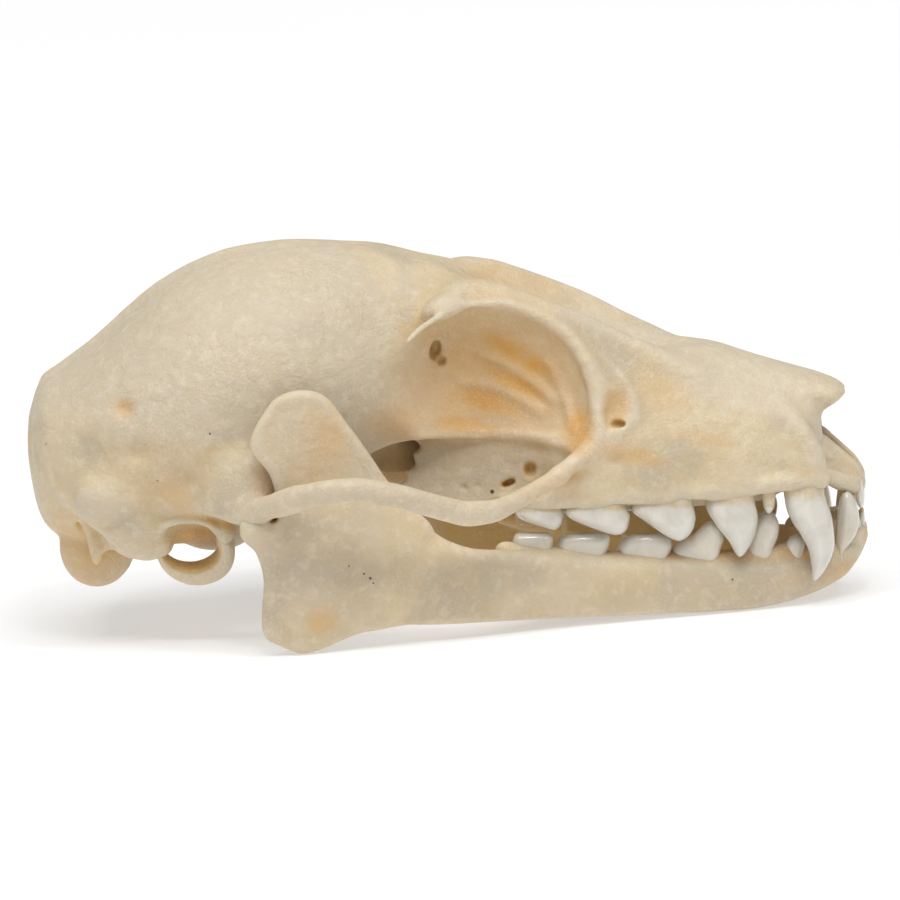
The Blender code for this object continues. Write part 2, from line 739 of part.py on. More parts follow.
def resting_pitch(jaw):
    """The turn that brings the jaw's corner and the underside of its front down to one level."""
    points = sorted((v.co.x, v.co.z) for v in jaw.data.vertices)
    middle = (points[0][0] + points[-1][0]) / 2
    pitch = 0.0
    # Each round turns the jaw until the lowest points of its rear and its front are level.
    for _ in range(8):
        c, s = math.cos(pitch), math.sin(pitch)
        low = {}
        for x, z in points:
            height = z * c - x * s
            half = x > middle
            if half not in low or height < low[half][0]:
                low[half] = (height, x, z)
        (_, rear_x, rear_z), (_, front_x, front_z) = low[False], low[True]
        pitch = math.atan2(front_z - rear_z, front_x - rear_x)
    return pitch


def set_down(nodes, pitch):
    """Turns the skull nose down on to its jaw, and puts its middle over the origin, on the floor."""
    stand = bpy.data.objects.new("skull_pose", None)
    bpy.context.scene.collection.objects.link(stand)
    turn = Matrix.Rotation(pitch, 4, "Y")
    points = np.array([turn @ v.co for node in nodes for v in node.data.vertices])
    low, high = points.min(axis=0), points.max(axis=0)
    stand.rotation_euler = (0, pitch, 0)
    stand.location = (-(low[0] + high[0]) / 2, -(low[1] + high[1]) / 2, -low[2])
    for node in nodes:
        node.parent = stand


def main():
    """Builds every piece and sets the skull down."""
    clear_scene()
    whole = cranium()
    back = braincase(whole)
    jaw = mandible()
    pairs = [zygomatic_arch(whole), premaxilla(whole), tympanic_ring(back), jaw]
    nodes = [back, rostrum(whole), *pairs]
    nodes += [mirrored(piece, piece.name.replace("_left", "_right")) for piece in pairs]
    bpy.data.objects.remove(whole, do_unlink=True)
    parts = bpy.data.collections.new("fruit_bat_skull")
    bpy.context.scene.collection.children.link(parts)
    for node in nodes:
        bpy.context.scene.collection.objects.unlink(node)
        parts.objects.link(node)
        node.data.materials.clear()
        node.data.materials.append(bone_material(node.name))
        node.data.shade_smooth()
        node.data.set_sharp_from_angle(angle=math.radians(40))
    set_down(nodes, resting_pitch(jaw))


main()
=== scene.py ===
"""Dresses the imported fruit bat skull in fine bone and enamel, on a pale floor with soft light and a camera.

Sizes are in millimetres in the skull's own frame, as in the part's source: x runs forward from the back of
the head, y is the distance from the midline (left is positive) and z is the height. Each bone is worked like
clay in a block of signed distances, skinned, and then set down in the resting pose that the solids have.
Every piece is made for the left side and mirrored.
"""

from __future__ import annotations

import itertools
import logging
import math
from dataclasses import dataclass, field
from enum import Enum
from typing import Protocol, Sequence

import bpy
import numpy as np
import openvdb
from mathutils import Matrix, Vector

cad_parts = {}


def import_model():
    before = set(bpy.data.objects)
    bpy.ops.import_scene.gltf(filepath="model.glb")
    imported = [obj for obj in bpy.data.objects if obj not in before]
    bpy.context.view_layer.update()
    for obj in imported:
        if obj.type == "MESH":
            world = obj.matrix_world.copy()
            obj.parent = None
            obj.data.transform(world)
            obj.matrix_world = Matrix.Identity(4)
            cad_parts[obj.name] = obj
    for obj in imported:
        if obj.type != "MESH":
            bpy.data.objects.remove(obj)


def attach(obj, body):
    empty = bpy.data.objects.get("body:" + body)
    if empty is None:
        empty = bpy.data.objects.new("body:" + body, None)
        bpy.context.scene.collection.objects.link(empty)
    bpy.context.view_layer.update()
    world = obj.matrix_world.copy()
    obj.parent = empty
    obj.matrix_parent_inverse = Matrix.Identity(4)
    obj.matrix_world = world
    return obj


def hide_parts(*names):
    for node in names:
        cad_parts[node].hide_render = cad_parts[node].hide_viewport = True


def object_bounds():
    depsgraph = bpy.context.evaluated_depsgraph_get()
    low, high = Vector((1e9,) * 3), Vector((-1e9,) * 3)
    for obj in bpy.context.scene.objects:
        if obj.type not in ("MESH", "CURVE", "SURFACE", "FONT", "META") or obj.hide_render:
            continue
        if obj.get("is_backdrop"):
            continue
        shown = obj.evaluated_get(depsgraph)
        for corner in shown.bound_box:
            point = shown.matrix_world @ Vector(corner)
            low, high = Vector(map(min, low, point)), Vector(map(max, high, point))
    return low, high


log = logging.getLogger("fruit_bat_skull")

MM = 0.001

# The resting pose: how far the skull leans nose down on its jaw.
REST_PITCH = math.radians(3.0446)
# How far above the floor the lowest point stays, inside the solids' box.
BOX_MARGIN = 0.02

BONE_STEP = 0.1
JAW_STEP = 0.09
SMALL_STEP = 0.06
TOOTH_STEP = 0.05
BAND = 3.0  # voxels of true distance kept on each side of a surface
REACH = 1.2  # how far round a shape its distances are written
TINY = 1e-6
FLATTEST = 1e-4  # the least slope that a distance is divided by
STEEPEST = 2.0  # the most that a body's side is taken to lean
INSIDE = 1.001  # how many grid steps before a block's end places are still read
MARKS = ("ridge", "hollow", "stain_and_shade", "veil")

Row = Sequence[float]
Point = tuple[float, float, float]
Arrays = tuple[np.ndarray, np.ndarray]
ThreeArrays = tuple[np.ndarray, np.ndarray, np.ndarray]
Socket = bpy.types.NodeSocket


def eased(rows: Sequence[Row], along: Sequence[float], at: np.ndarray) -> np.ndarray:
    """Reads a smooth line through rows of values, which doesn't overshoot at a peak.

    Args:
        rows: the rows of values that the line goes through.
        along: where each row lies.
        at: the places to read.

    Returns:
        One row of values for each place.
    """
    table = np.asarray(rows, float)
    stops = np.asarray(along, float)
    secant = np.diff(table, axis=0) / np.diff(stops)[:, None]
    slope = np.vstack([secant[:1], (secant[:-1] + secant[1:]) / 2, secant[-1:]])
    slope[1:-1][secant[:-1] * secant[1:] <= 0] = 0
    i = np.clip(np.searchsorted(stops, at) - 1, 0, len(stops) - 2)
    step = (stops[i + 1] - stops[i])[:, None]
    s = np.clip((at - stops[i])[:, None] / step, 0, 1)
    return (
        (2 * s**3 - 3 * s**2 + 1) * table[i]
        + (s**3 - 2 * s**2 + s) * step * slope[i]
        + (3 * s**2 - 2 * s**3) * table[i + 1]
        + (s**3 - s**2) * step * slope[i + 1]
    )


def soft_min(a: np.ndarray, b: np.ndarray, blend: float) -> np.ndarray:
    """The smaller of two distances, with the crease between them filled.

    Args:
        a: one block of distances.
        b: the other one.
        blend: how wide the filled crease is.

    Returns:
        The distances to both together.
    """
    if blend <= 0:
        return np.minimum(a, b)
    h = np.maximum(blend - np.abs(a - b), 0) / blend
    return np.minimum(a, b) - h * h * blend / 4


def tipped(dx: np.ndarray, dz: np.ndarray, degrees: float) -> Arrays:
    """Forward and upward distances, as a shape that is turned nose down by those degrees sees them."""
    c, s = math.cos(math.radians(degrees)), math.sin(math.radians(degrees))
    return dx * c - dz * s, dx * s + dz * c


def section_gap(
    across: np.ndarray, along: np.ndarray, half: np.ndarray, height: np.ndarray, power: np.ndarray | float
) -> np.ndarray:
    """Distances to the outline of a rounded section.

    Args:
        across: how far out each place lies, as a share of the section's half width.
        along: how far up or down it lies, as a share of the section's height above or below its middle.
        half: the half width.
        height: the height above or below the middle.
        power: how square the section is, where 2 makes an ellipse.

    Returns:
        Signed distances, negative inside.
    """
    near = np.maximum(across**power + along**power, TINY) ** (1 / power)
    slope = np.sqrt((across ** (power - 1) / half) ** 2 + (along ** (power - 1) / height) ** 2)
    return (near - 1) / np.maximum(slope * near ** (1 - power), FLATTEST)


def leaned(gap: np.ndarray, x: np.ndarray) -> np.ndarray:
    """Makes distances within upright sections shorter where the body's side leans.

    Args:
        gap: the distances, one section after another along x.
        x: where the sections lie.

    Returns:
        Distances nearer to the true ones.
    """
    if gap.shape[0] <= 2:
        return gap
    step = float(x.ravel()[1] - x.ravel()[0])
    lean = np.clip(np.gradient(gap, step, axis=0), -STEEPEST, STEEPEST)
    return gap / np.sqrt(1 + lean**2)


def between(block: np.ndarray, near: np.ndarray, far: np.ndarray, share: np.ndarray) -> np.ndarray:
    """Reads a block of values at places between its grid points.

    Args:
        block: the values.
        near: the grid point before each place along each axis.
        far: the grid point after it.
        share: how far each place is on the way from one to the other.

    Returns:
        One value a place.
    """
    value = np.zeros(len(share))
    for corner in itertools.product((0, 1), repeat=3):
        weight = np.ones(len(share))
        for axis, upper in enumerate(corner):
            weight = weight * (share[:, axis] if upper else 1 - share[:, axis])
        value += weight * block[tuple((far if upper else near)[:, axis] for axis, upper in enumerate(corner))]
    return value


def blurred(block: np.ndarray, times: int) -> np.ndarray:
    """Blurs a block a little along each axis.

    Args:
        block: the values.
        times: how often the blur passes over it.

    Returns:
        The blurred block.
    """
    for _ in range(times):
        for axis in range(3):
            padded = np.concatenate([block.take([0], axis), block, block.take([-1], axis)], axis=axis)
            count = block.shape[axis]
            before = padded.take(range(0, count), axis)
            after = padded.take(range(2, count + 2), axis)
            block = 0.5 * block + 0.25 * (before + after)
    return block


def largest_part(points: np.ndarray, faces: np.ndarray) -> tuple[np.ndarray, np.ndarray]:
    """Drops every loose scrap of a skin but its largest part.

    Args:
        points: the vertices.
        faces: four vertex numbers a face.

    Returns:
        The vertices and faces of the largest part.
    """
    label = np.arange(len(points))
    edges = np.concatenate([faces[:, (i, (i + 1) % 4)] for i in range(4)])
    while True:
        low = np.minimum(label[edges[:, 0]], label[edges[:, 1]])
        new = label.copy()
        np.minimum.at(new, edges[:, 0], low)
        np.minimum.at(new, edges[:, 1], low)
        new = new[new]
        new = new[new]
        if (new == label).all():
            break
        label = new
    kept = label == np.bincount(label).argmax()
    number = np.cumsum(kept) - 1
    faces = number[faces[kept[faces[:, 0]]]]
    return points[kept], faces


class Shape(Protocol):
    """Something that clay can be added as or cut with."""

    def reach(self) -> Arrays:
        """The corners of the box that holds it."""

    def distance(self, x: np.ndarray, y: np.ndarray, z: np.ndarray) -> np.ndarray:
        """Signed distances, negative inside, at a grid of places."""


@dataclass(frozen=True)
class Lump:
    """A sphere drawn out to three radii, and turned nose down by that many degrees."""

    centre: Point
    radii: Point
    turn: float = 0.0

    def reach(self) -> Arrays:
        """The corners of the box that holds it."""
        far = max(self.radii) if self.turn else np.array(self.radii)
        return np.array(self.centre) - far, np.array(self.centre) + far

    def distance(self, x: np.ndarray, y: np.ndarray, z: np.ndarray) -> np.ndarray:
        """Signed distances, negative inside.

        Args:
            x: the grid's places forward.
            y: its places outward.
            z: its places upward.

        Returns:
            The distance at each place of the grid.
        """
        dx, dy, dz = x - self.centre[0], y - self.centre[1], z - self.centre[2]
        if self.turn:
            dx, dz = tipped(dx, dz, self.turn)
        a, b, c = self.radii
        near = np.sqrt((dx / a) ** 2 + (dy / b) ** 2 + (dz / c) ** 2)
        slope = np.sqrt((dx / a**2) ** 2 + (dy / b**2) ** 2 + (dz / c**2) ** 2)
        return near * (near - 1) / np.maximum(slope, TINY)


@dataclass(frozen=True)
class Bar:
    """A round bar of varying radius through rows of x, y, z and radius, pressed flat by whole factors."""

    rows: Sequence[Row]
    press: Point = (1.0, 1.0, 1.0)
    rows_per_gap: int = 4

    def line(self) -> np.ndarray:
        """A smooth line through the given rows.

        Returns:
            Rows like the given ones, but more of them.
        """
        rows = np.array(self.rows, float)
        lengths = np.linalg.norm(np.diff(rows[:, :3], axis=0), axis=1)
        along = np.concatenate([[0], np.cumsum(lengths)])
        places = np.arange((len(rows) - 1) * self.rows_per_gap + 1) / self.rows_per_gap
        return eased(rows, along, np.interp(places, np.arange(len(rows)), along))

    def reach(self) -> Arrays:
        """The corners of the box that holds it."""
        line = self.line()
        return (line[:, :3] - line[:, 3:]).min(axis=0), (line[:, :3] + line[:, 3:]).max(axis=0)

    def distance(self, x: np.ndarray, y: np.ndarray, z: np.ndarray) -> np.ndarray:
        """Signed distances, negative inside.

        Args:
            x: the grid's places forward.
            y: its places outward.
            z: its places upward.

        Returns:
            The distance at each place of the grid.
        """
        px, py, pz = self.press
        line = self.line() * (px, py, pz, 1)
        x, y, z = x * px, y * py, z * pz
        nearest = None
        for a, b in zip(line, line[1:]):
            way = b[:3] - a[:3]
            square = float(way @ way) + 1e-9
            t = ((x - a[0]) * way[0] + (y - a[1]) * way[1] + (z - a[2]) * way[2]) / square
            t = np.clip(t, 0, 1)
            dx, dy, dz = x - a[0] - t * way[0], y - a[1] - t * way[1], z - a[2] - t * way[2]
            gap = np.sqrt(dx**2 + dy**2 + dz**2) - (a[3] + t * (b[3] - a[3]))
            nearest = gap if nearest is None else np.minimum(nearest, gap)
        return nearest / max(self.press)


@dataclass(frozen=True)
class Sections:
    """A body of upright cross-sections.

    Each row is x, top, widest level, floor, half width, roof power, floor power.
    """

    rows: Sequence[Row]
    deepest: float = 3.0
    end_round: float = 0.8

    def reach(self) -> Arrays:
        """The corners of the box that holds it.

        Returns:
            The lowest corner and the highest.
        """
        rows = np.array(self.rows, float)
        low = np.array((rows[0, 0], -rows[:, 4].max(), rows[:, 3].min()))
        return low, np.array((rows[-1, 0], rows[:, 4].max(), rows[:, 1].max()))

    def distance(self, x: np.ndarray, y: np.ndarray, z: np.ndarray) -> np.ndarray:
        """Signed distances, negative inside.

        Args:
            x: the grid's places forward.
            y: its places outward.
            z: its places upward.

        Returns:
            The distance at each place of the grid.
        """
        rows = np.array(self.rows, float)
        read = eased(rows[:, 1:], rows[:, 0], x.ravel()).astype(np.float32)
        top, widest, floor, half, roof_power, floor_power = (read[:, i, None, None] for i in range(6))
        rise = z - widest
        height = np.where(rise >= 0, top - widest, widest - floor)
        power = np.where(rise >= 0, roof_power, floor_power)
        gap = section_gap(np.abs(y) / half, np.abs(rise) / height, half, height, power)
        gap = leaned(np.maximum(gap, -self.deepest), x)
        ends = np.maximum(rows[0, 0] - x, x - rows[-1, 0])
        return -soft_min(-gap, -ends, self.end_round)


@dataclass(frozen=True)
class Strip:
    """A jaw-like body of cross-sections: x, y, top, floor, half thickness."""

    rows: Sequence[Row]
    power: float = 2.6
    deepest: float = 2.0
    end_round: float = 0.5

    def reach(self) -> Arrays:
        """The corners of the box that holds it.

        Returns:
            The lowest corner and the highest.
        """
        rows = np.array(self.rows, float)
        low = np.array((rows[0, 0], (rows[:, 1] - rows[:, 4]).min(), rows[:, 3].min()))
        return low, np.array((rows[-1, 0], (rows[:, 1] + rows[:, 4]).max(), rows[:, 2].max()))

    def distance(self, x: np.ndarray, y: np.ndarray, z: np.ndarray) -> np.ndarray:
        """Signed distances, negative inside.

        Args:
            x: the grid's places forward.
            y: its places outward.
            z: its places upward.

        Returns:
            The distance at each place of the grid.
        """
        rows = np.array(self.rows, float)
        read = eased(rows[:, 1:], rows[:, 0], x.ravel()).astype(np.float32)
        middle, top, floor, thick = (read[:, i, None, None] for i in range(4))
        half = (top - floor) / 2
        across, along = np.abs(y - middle) / thick, np.abs(z - floor - half) / half
        gap = section_gap(across, along, thick, half, self.power)
        gap = leaned(np.maximum(gap, -self.deepest), x)
        ends = np.maximum(rows[0, 0] - x, x - rows[-1, 0])
        return -soft_min(-gap, -ends, self.end_round)


@dataclass(frozen=True)
class Plate:
    """A side outline of x and z, swelled to a half thickness over a rim of that depth.

    The middle of the plate lies at y, moved by lean for each millimetre above the base level and by run for
    each millimetre in front of the base place. A lip stands out along the edge above the level lip_from.
    """

    outline: Sequence[tuple[float, float]]
    y: float
    thickness: float
    rim: float
    base: tuple[float, float] = (0.0, 0.0)
    lean: float = 0.0
    run: float = 0.0
    lip: float = 0.0
    lip_depth: float = 0.35
    lip_from: float = 0.0
    lip_grows: float = 1.5
    points_per_gap: int = 5

    def edge(self) -> np.ndarray:
        """A smooth closed line through the outline.

        Returns:
            Rows of x and z.
        """
        p = np.array(self.outline, float)
        before, after, beyond = np.roll(p, 1, 0), np.roll(p, -1, 0), np.roll(p, -2, 0)
        made = []
        for s in np.arange(self.points_per_gap) / self.points_per_gap:
            bend = (2 * before - 5 * p + 4 * after - beyond) * s**2
            swing = (3 * p - before - 3 * after + beyond) * s**3
            made.append(0.5 * (2 * p + (after - before) * s + bend + swing))
        return np.stack(made, axis=1).reshape(-1, 2)

    def middle(self, x: np.ndarray, z: np.ndarray) -> np.ndarray:
        """The y of the plate's middle."""
        return self.y + self.run * (x - self.base[0]) + self.lean * (z - self.base[1])

    def reach(self) -> Arrays:
        """The corners of the box that holds it.

        Returns:
            The lowest corner and the highest.
        """
        edge = self.edge()
        middle = self.middle(edge[:, 0], edge[:, 1])
        thick = self.thickness + self.lip
        low = np.array((edge[:, 0].min(), middle.min() - thick, edge[:, 1].min()))
        return low, np.array((edge[:, 0].max(), middle.max() + thick, edge[:, 1].max()))

    def depth(self, x: np.ndarray, z: np.ndarray) -> np.ndarray:
        """How far inside the outline places lie.

        Args:
            x: places forward.
            z: places upward.

        Returns:
            The depth at each place, negative outside the outline.
        """
        edge = self.edge()
        nearest = np.full(np.broadcast(x, z).shape, np.inf)
        inside = np.zeros(nearest.shape, bool)
        for (ax, az), (bx, bz) in zip(edge, np.roll(edge, -1, 0)):
            wx, wz = bx - ax, bz - az
            t = np.clip(((x - ax) * wx + (z - az) * wz) / (wx * wx + wz * wz + 1e-12), 0, 1)
            nearest = np.minimum(nearest, (x - ax - t * wx) ** 2 + (z - az - t * wz) ** 2)
            if az != bz:
                crosses = (az > z) != (bz > z)
                inside ^= crosses & (x < (bx - ax) * (z - az) / (bz - az) + ax)
        nearest = np.sqrt(nearest)
        return np.where(inside, nearest, -nearest)

    def distance(self, x: np.ndarray, y: np.ndarray, z: np.ndarray) -> np.ndarray:
        """Signed distances, negative inside.

        Args:
            x: the grid's places forward.
            y: its places outward.
            z: its places upward.

        Returns:
            The distance at each place of the grid.
        """
        depth = self.depth(x, z)
        thick = self.thickness
        if self.lip:
            grown = np.clip((z - self.lip_from) / self.lip_grows, 0, 1)
            thick = thick + self.lip * grown * np.exp(-((np.maximum(depth, 0) / self.lip_depth) ** 2))
        short = np.maximum(1 - depth / self.rim, 0)
        across = (y - self.middle(x, z)) / thick
        near = np.sqrt(short**2 + across**2)
        slope = np.sqrt((short / self.rim) ** 2 + (across / thick) ** 2) / np.maximum(near, FLATTEST)
        return (near - 1) / np.maximum(slope, FLATTEST)


class Work(Enum):
    """What a step does to the clay."""

    ADD = "add"
    CUT = "cut"


@dataclass(frozen=True)
class Step:
    """One step of working a bone: what it makes, with which shape, and how wide its crease is filled."""

    makes: str
    shape: Shape
    blend: float
    work: Work = Work.ADD


class Clay:
    """A block of signed distances over the left side, on a grid that has the midline as its first plane."""

    def __init__(self, low: Point, high: Point, step: float) -> None:
        """Starts empty.

        Args:
            low: the block's lowest corner.
            high: its highest corner.
            step: the grid's spacing.
        """
        self.low = np.array(low, float)
        self.step = step
        count = np.ceil((np.array(high, float) - self.low) / step).astype(int) + 1
        self.d = np.full(count, REACH * 2, np.float32)

    def _window(self, shape: Shape, spare: float) -> tuple[tuple[slice, ...], tuple[np.ndarray, ...]] | None:
        """Finds the part of the grid round a shape.

        Args:
            shape: the shape.
            spare: how far round its box the part reaches.

        Returns:
            The part and its places along each axis, or nothing where the shape lies outside the block.
        """
        low, high = shape.reach()
        first = np.floor((low - spare - self.low) / self.step).astype(int)
        last = np.ceil((high + spare - self.low) / self.step).astype(int) + 1
        first, last = np.maximum(first, 0), np.minimum(last, self.d.shape)
        if (last - first < 2).any():
            return None
        part = tuple(slice(a, b) for a, b in zip(first, last))
        ticks = [self.low[i] + self.step * np.arange(first[i], last[i]) for i in range(3)]
        x, y, z = (tick.astype(np.float32) for tick in ticks)
        return part, (x[:, None, None], y[None, :, None], z[None, None, :])

    def work(self, *steps: Step) -> Clay:
        """Adds or cuts the shape of each step in order.

        Args:
            steps: the steps.

        Returns:
            The same clay.
        """
        for step in steps:
            found = self._window(step.shape, REACH)
            if found:
                part, places = found
                side = 1 if step.work is Work.ADD else -1
                self.d[part] = side * soft_min(side * self.d[part], step.shape.distance(*places), step.blend)
            log.debug("%s: %s", step.work.value, step.makes)
        return self

    def hollow(self, shape: Shape, wall: float, blend: float = 0.3) -> None:
        """Hollows out the inside of a shape, but leaves a wall to every surface made so far.

        Args:
            shape: the shape of the room.
            wall: how thick the wall is.
            blend: how wide the room's corners are rounded.
        """
        found = self._window(shape, 0.0)
        if found:
            part, places = found
            room = -soft_min(-(self.d[part] + wall), -shape.distance(*places), blend)
            self.d[part] = -soft_min(-self.d[part], room, blend / 2)

    def soften(self, times: int = 1) -> Clay:
        """Blurs the block a little, so that cut edges catch the light."""
        self.d = blurred(self.d, times)
        return self

    def skin(self, both_sides: bool) -> Arrays:
        """Lays a skin of four-sided faces on the clay.

        Args:
            both_sides: whether the block's mirror image is skinned with it, as one body.

        Returns:
            The vertices in millimetres, and four vertex numbers a face.
        """
        block, low = self.d, self.low.copy()
        if both_sides:
            block = np.concatenate([block[:, :0:-1], block], axis=1)
            low[1] = -(self.d.shape[1] - 1) * self.step
        grid = openvdb.FloatGrid(background=BAND)
        grid.copyFromArray(np.ascontiguousarray(np.clip(block / self.step, -BAND, BAND), np.float32))
        points, faces = grid.convertToQuads(isovalue=0.0)
        return largest_part(points * self.step + low, faces.astype(np.int64))

    def read(self, block: np.ndarray, points: np.ndarray) -> np.ndarray:
        """Reads a block at places between its grid points, with the right side read from the left.

        Args:
            block: values on the clay's grid.
            points: the places.

        Returns:
            One value a place.
        """
        places = points.copy()
        places[:, 1] = np.abs(places[:, 1])
        at = np.clip((places - self.low) / self.step, 0, np.array(block.shape) - INSIDE)
        near = at.astype(int)
        return between(block, near, near + 1, at - near)


@dataclass(frozen=True)
class Grain:
    """Smooth seeded noise in space, between -1 and 1."""

    seed: int
    size: int = 32

    def read(self, points: np.ndarray, width: float) -> np.ndarray:
        """Reads the noise.

        Args:
            points: the places.
            width: about how wide its lumps are.

        Returns:
            One value a place.
        """
        table = np.random.default_rng(self.seed).uniform(-1, 1, (self.size,) * 3)
        at = points / width
        near = np.floor(at).astype(int)
        share = at - near
        near = near % self.size
        return between(table, near, (near + 1) % self.size, share * share * (3 - 2 * share))


BRAINCASE = (
    (-0.08, 11.5, 10.0, 8.0, 2.6, 2.0, 2.0),
    (0.45, 12.35, 10.1, 6.4, 4.0, 2.0, 2.4),
    (1.5, 13.15, 10.2, 5.35, 5.2, 2.0, 2.6),
    (3.0, 14.3, 10.4, 5.0, 6.2, 2.0, 2.6),
    (4.5, 15.65, 10.6, 5.1, 6.8, 2.0, 2.6),
    (6.0, 16.9, 10.8, 5.2, 7.2, 2.0, 2.6),
    (8.0, 18.0, 11.2, 5.6, 7.5, 2.0, 2.4),
    (10.0, 18.6, 11.6, 6.1, 7.5, 2.0, 2.2),
    (12.0, 18.86, 12.0, 6.7, 7.1, 2.0, 2.0),
    (14.0, 18.82, 12.5, 7.4, 6.2, 2.0, 2.0),
    (16.0, 18.7, 13.0, 8.2, 4.9, 2.0, 2.0),
    (17.5, 18.3, 13.4, 8.7, 4.3, 2.3, 2.0),
    (19.5, 17.72, 13.5, 9.2, 4.0, 2.8, 2.0),
)
FACE = (
    (15.0, 16.8, 12.8, 9.2, 3.4, 2.4, 2.6),
    (18.0, 17.55, 12.2, 8.3, 4.5, 3.2, 3.0),
    (20.5, 17.32, 11.6, 7.7, 5.3, 3.6, 4.0),
    (22.5, 16.82, 10.9, 7.2, 5.6, 3.3, 5.0),
    (24.5, 16.22, 10.2, 7.12, 5.7, 2.8, 5.0),
    (26.5, 15.62, 9.8, 7.2, 5.5, 2.15, 5.0),
    (28.5, 14.95, 9.6, 7.32, 5.2, 1.9, 5.0),
    (31.0, 14.15, 9.6, 7.55, 4.7, 1.8, 5.0),
    (33.5, 13.3, 9.6, 7.68, 4.1, 1.8, 5.0),
    (34.6, 12.98, 9.6, 7.72, 3.55, 1.8, 4.8),
    (35.4, 12.75, 9.65, 7.8, 2.8, 1.85, 4.2),
    (36.15, 12.45, 9.8, 8.1, 1.8, 1.9, 3.5),
)
NASALS = (
    (29.0, 14.85, 13.4, 12.2, 1.8, 2.0, 2.0),
    (33.0, 13.5, 12.6, 11.6, 1.9, 2.0, 2.0),
    (36.0, 12.7, 12.0, 11.2, 1.8, 2.0, 2.0),
    (37.17, 12.3, 12.05, 11.75, 1.2, 2.0, 2.0),
)
ORBIT = Lump((20.9, 7.6, 13.1), (5.7, 4.9, 5.1))
ARCH_LINE = (
    (11.5, 9.9, 8.52, 0.5),
    (13.0, 10.82, 9.1, 0.56),
    (14.8, 11.1, 9.36, 0.56),
    (16.5, 10.95, 9.1, 0.55),
    (18.2, 10.5, 8.56, 0.55),
    (19.1, 10.05, 8.24, 0.56),
    (20.0, 9.6, 8.0, 0.58),
    (20.9, 9.1, 8.0, 0.53),
    (21.7, 8.5, 8.2, 0.46),
    (22.3, 8.1, 8.44, 0.42),
    (24.0, 6.8, 9.25, 0.38),
)


@dataclass
class Marks:
    """What the surface shows, one value a vertex from 0 to 1: its bends, painted shade, stains and grey
    veils.
    """

    ridge: np.ndarray
    # Painted shade: browner in creases, near other bone, on the jaws' inner sides and inside the ear ring. On
    # teeth it holds the neck line.
    hollow: np.ndarray
    # Stains, with shade painted on some patches. On teeth it holds the inner side, golden brown from stain
    # and painted shade.
    stain_and_shade: np.ndarray
    # Grey veils: the bone's own grey, and painted shade in some furrows and holes and under the cheek bar.
    veil: np.ndarray


@dataclass(frozen=True)
class Patch:
    """A patch round a place, for stains, grey veils and painted shade: its radii, its strength, and its turn
    nose down in degrees.
    """

    centre: Point
    radii: Point
    strength: float = 1.0
    turn: float = 0.0
    fades_at: float = 1.5

    def read(self, points: np.ndarray) -> np.ndarray:
        """Reads how strong the patch is.

        Args:
            points: the places, of either side.

        Returns:
            One value a place.
        """
        dx, dz = tipped(points[:, 0] - self.centre[0], points[:, 2] - self.centre[2], self.turn)
        dy = np.abs(points[:, 1]) - self.centre[1]
        far = np.sqrt((dx / self.radii[0]) ** 2 + (dy / self.radii[1]) ** 2 + (dz / self.radii[2]) ** 2)
        return self.strength * np.clip(self.fades_at - far, 0, 1)


# Pinholes for fine vessels, painted as dark dots of shade with no hole cut: their places and radii.
PORES = (
    ((2.25, 6.1, 9.6), 0.1),
    ((2.45, 6.15, 9.32), 0.07),
    ((5.86, 7.1, 9.05), 0.09),
    ((0.82, 4.5, 10.3), 0.06),
    ((8.25, 7.5, 11.3), 0.06),
    ((19.2, 7.7, 3.6), 0.08),
    ((31.9, 4.2, 4.0), 0.08),
    ((34.0, 3.3, 4.1), 0.08),
    ((14.53, 8.52, 5.41), 0.045),
    ((15.21, 8.48, 5.05), 0.06),
    ((15.49, 8.46, 4.84), 0.075),
    ((15.62, 8.46, 4.62), 0.05),
    ((21.0, 3.35, 7.9), 0.12),
)


class Sheen(Enum):
    """Which of the two finishes a piece has."""

    BONE = "bone"
    ENAMEL = "enamel"


@dataclass(frozen=True)
class Noise:
    """Cloudy noise: how many lumps it has a millimetre, its detail and how far it is warped."""

    scale: float
    detail: float = 3.0
    warp: float = 0.0


@dataclass(frozen=True)
class Span:
    """A range of values and what it is drawn out to, from least to most."""

    low: float
    high: float
    least: float = 0.0
    most: float = 1.0


@dataclass(frozen=True)
class Layer:
    """Cloudy noise with the range of it that shows."""

    noise: Noise
    shows: Span


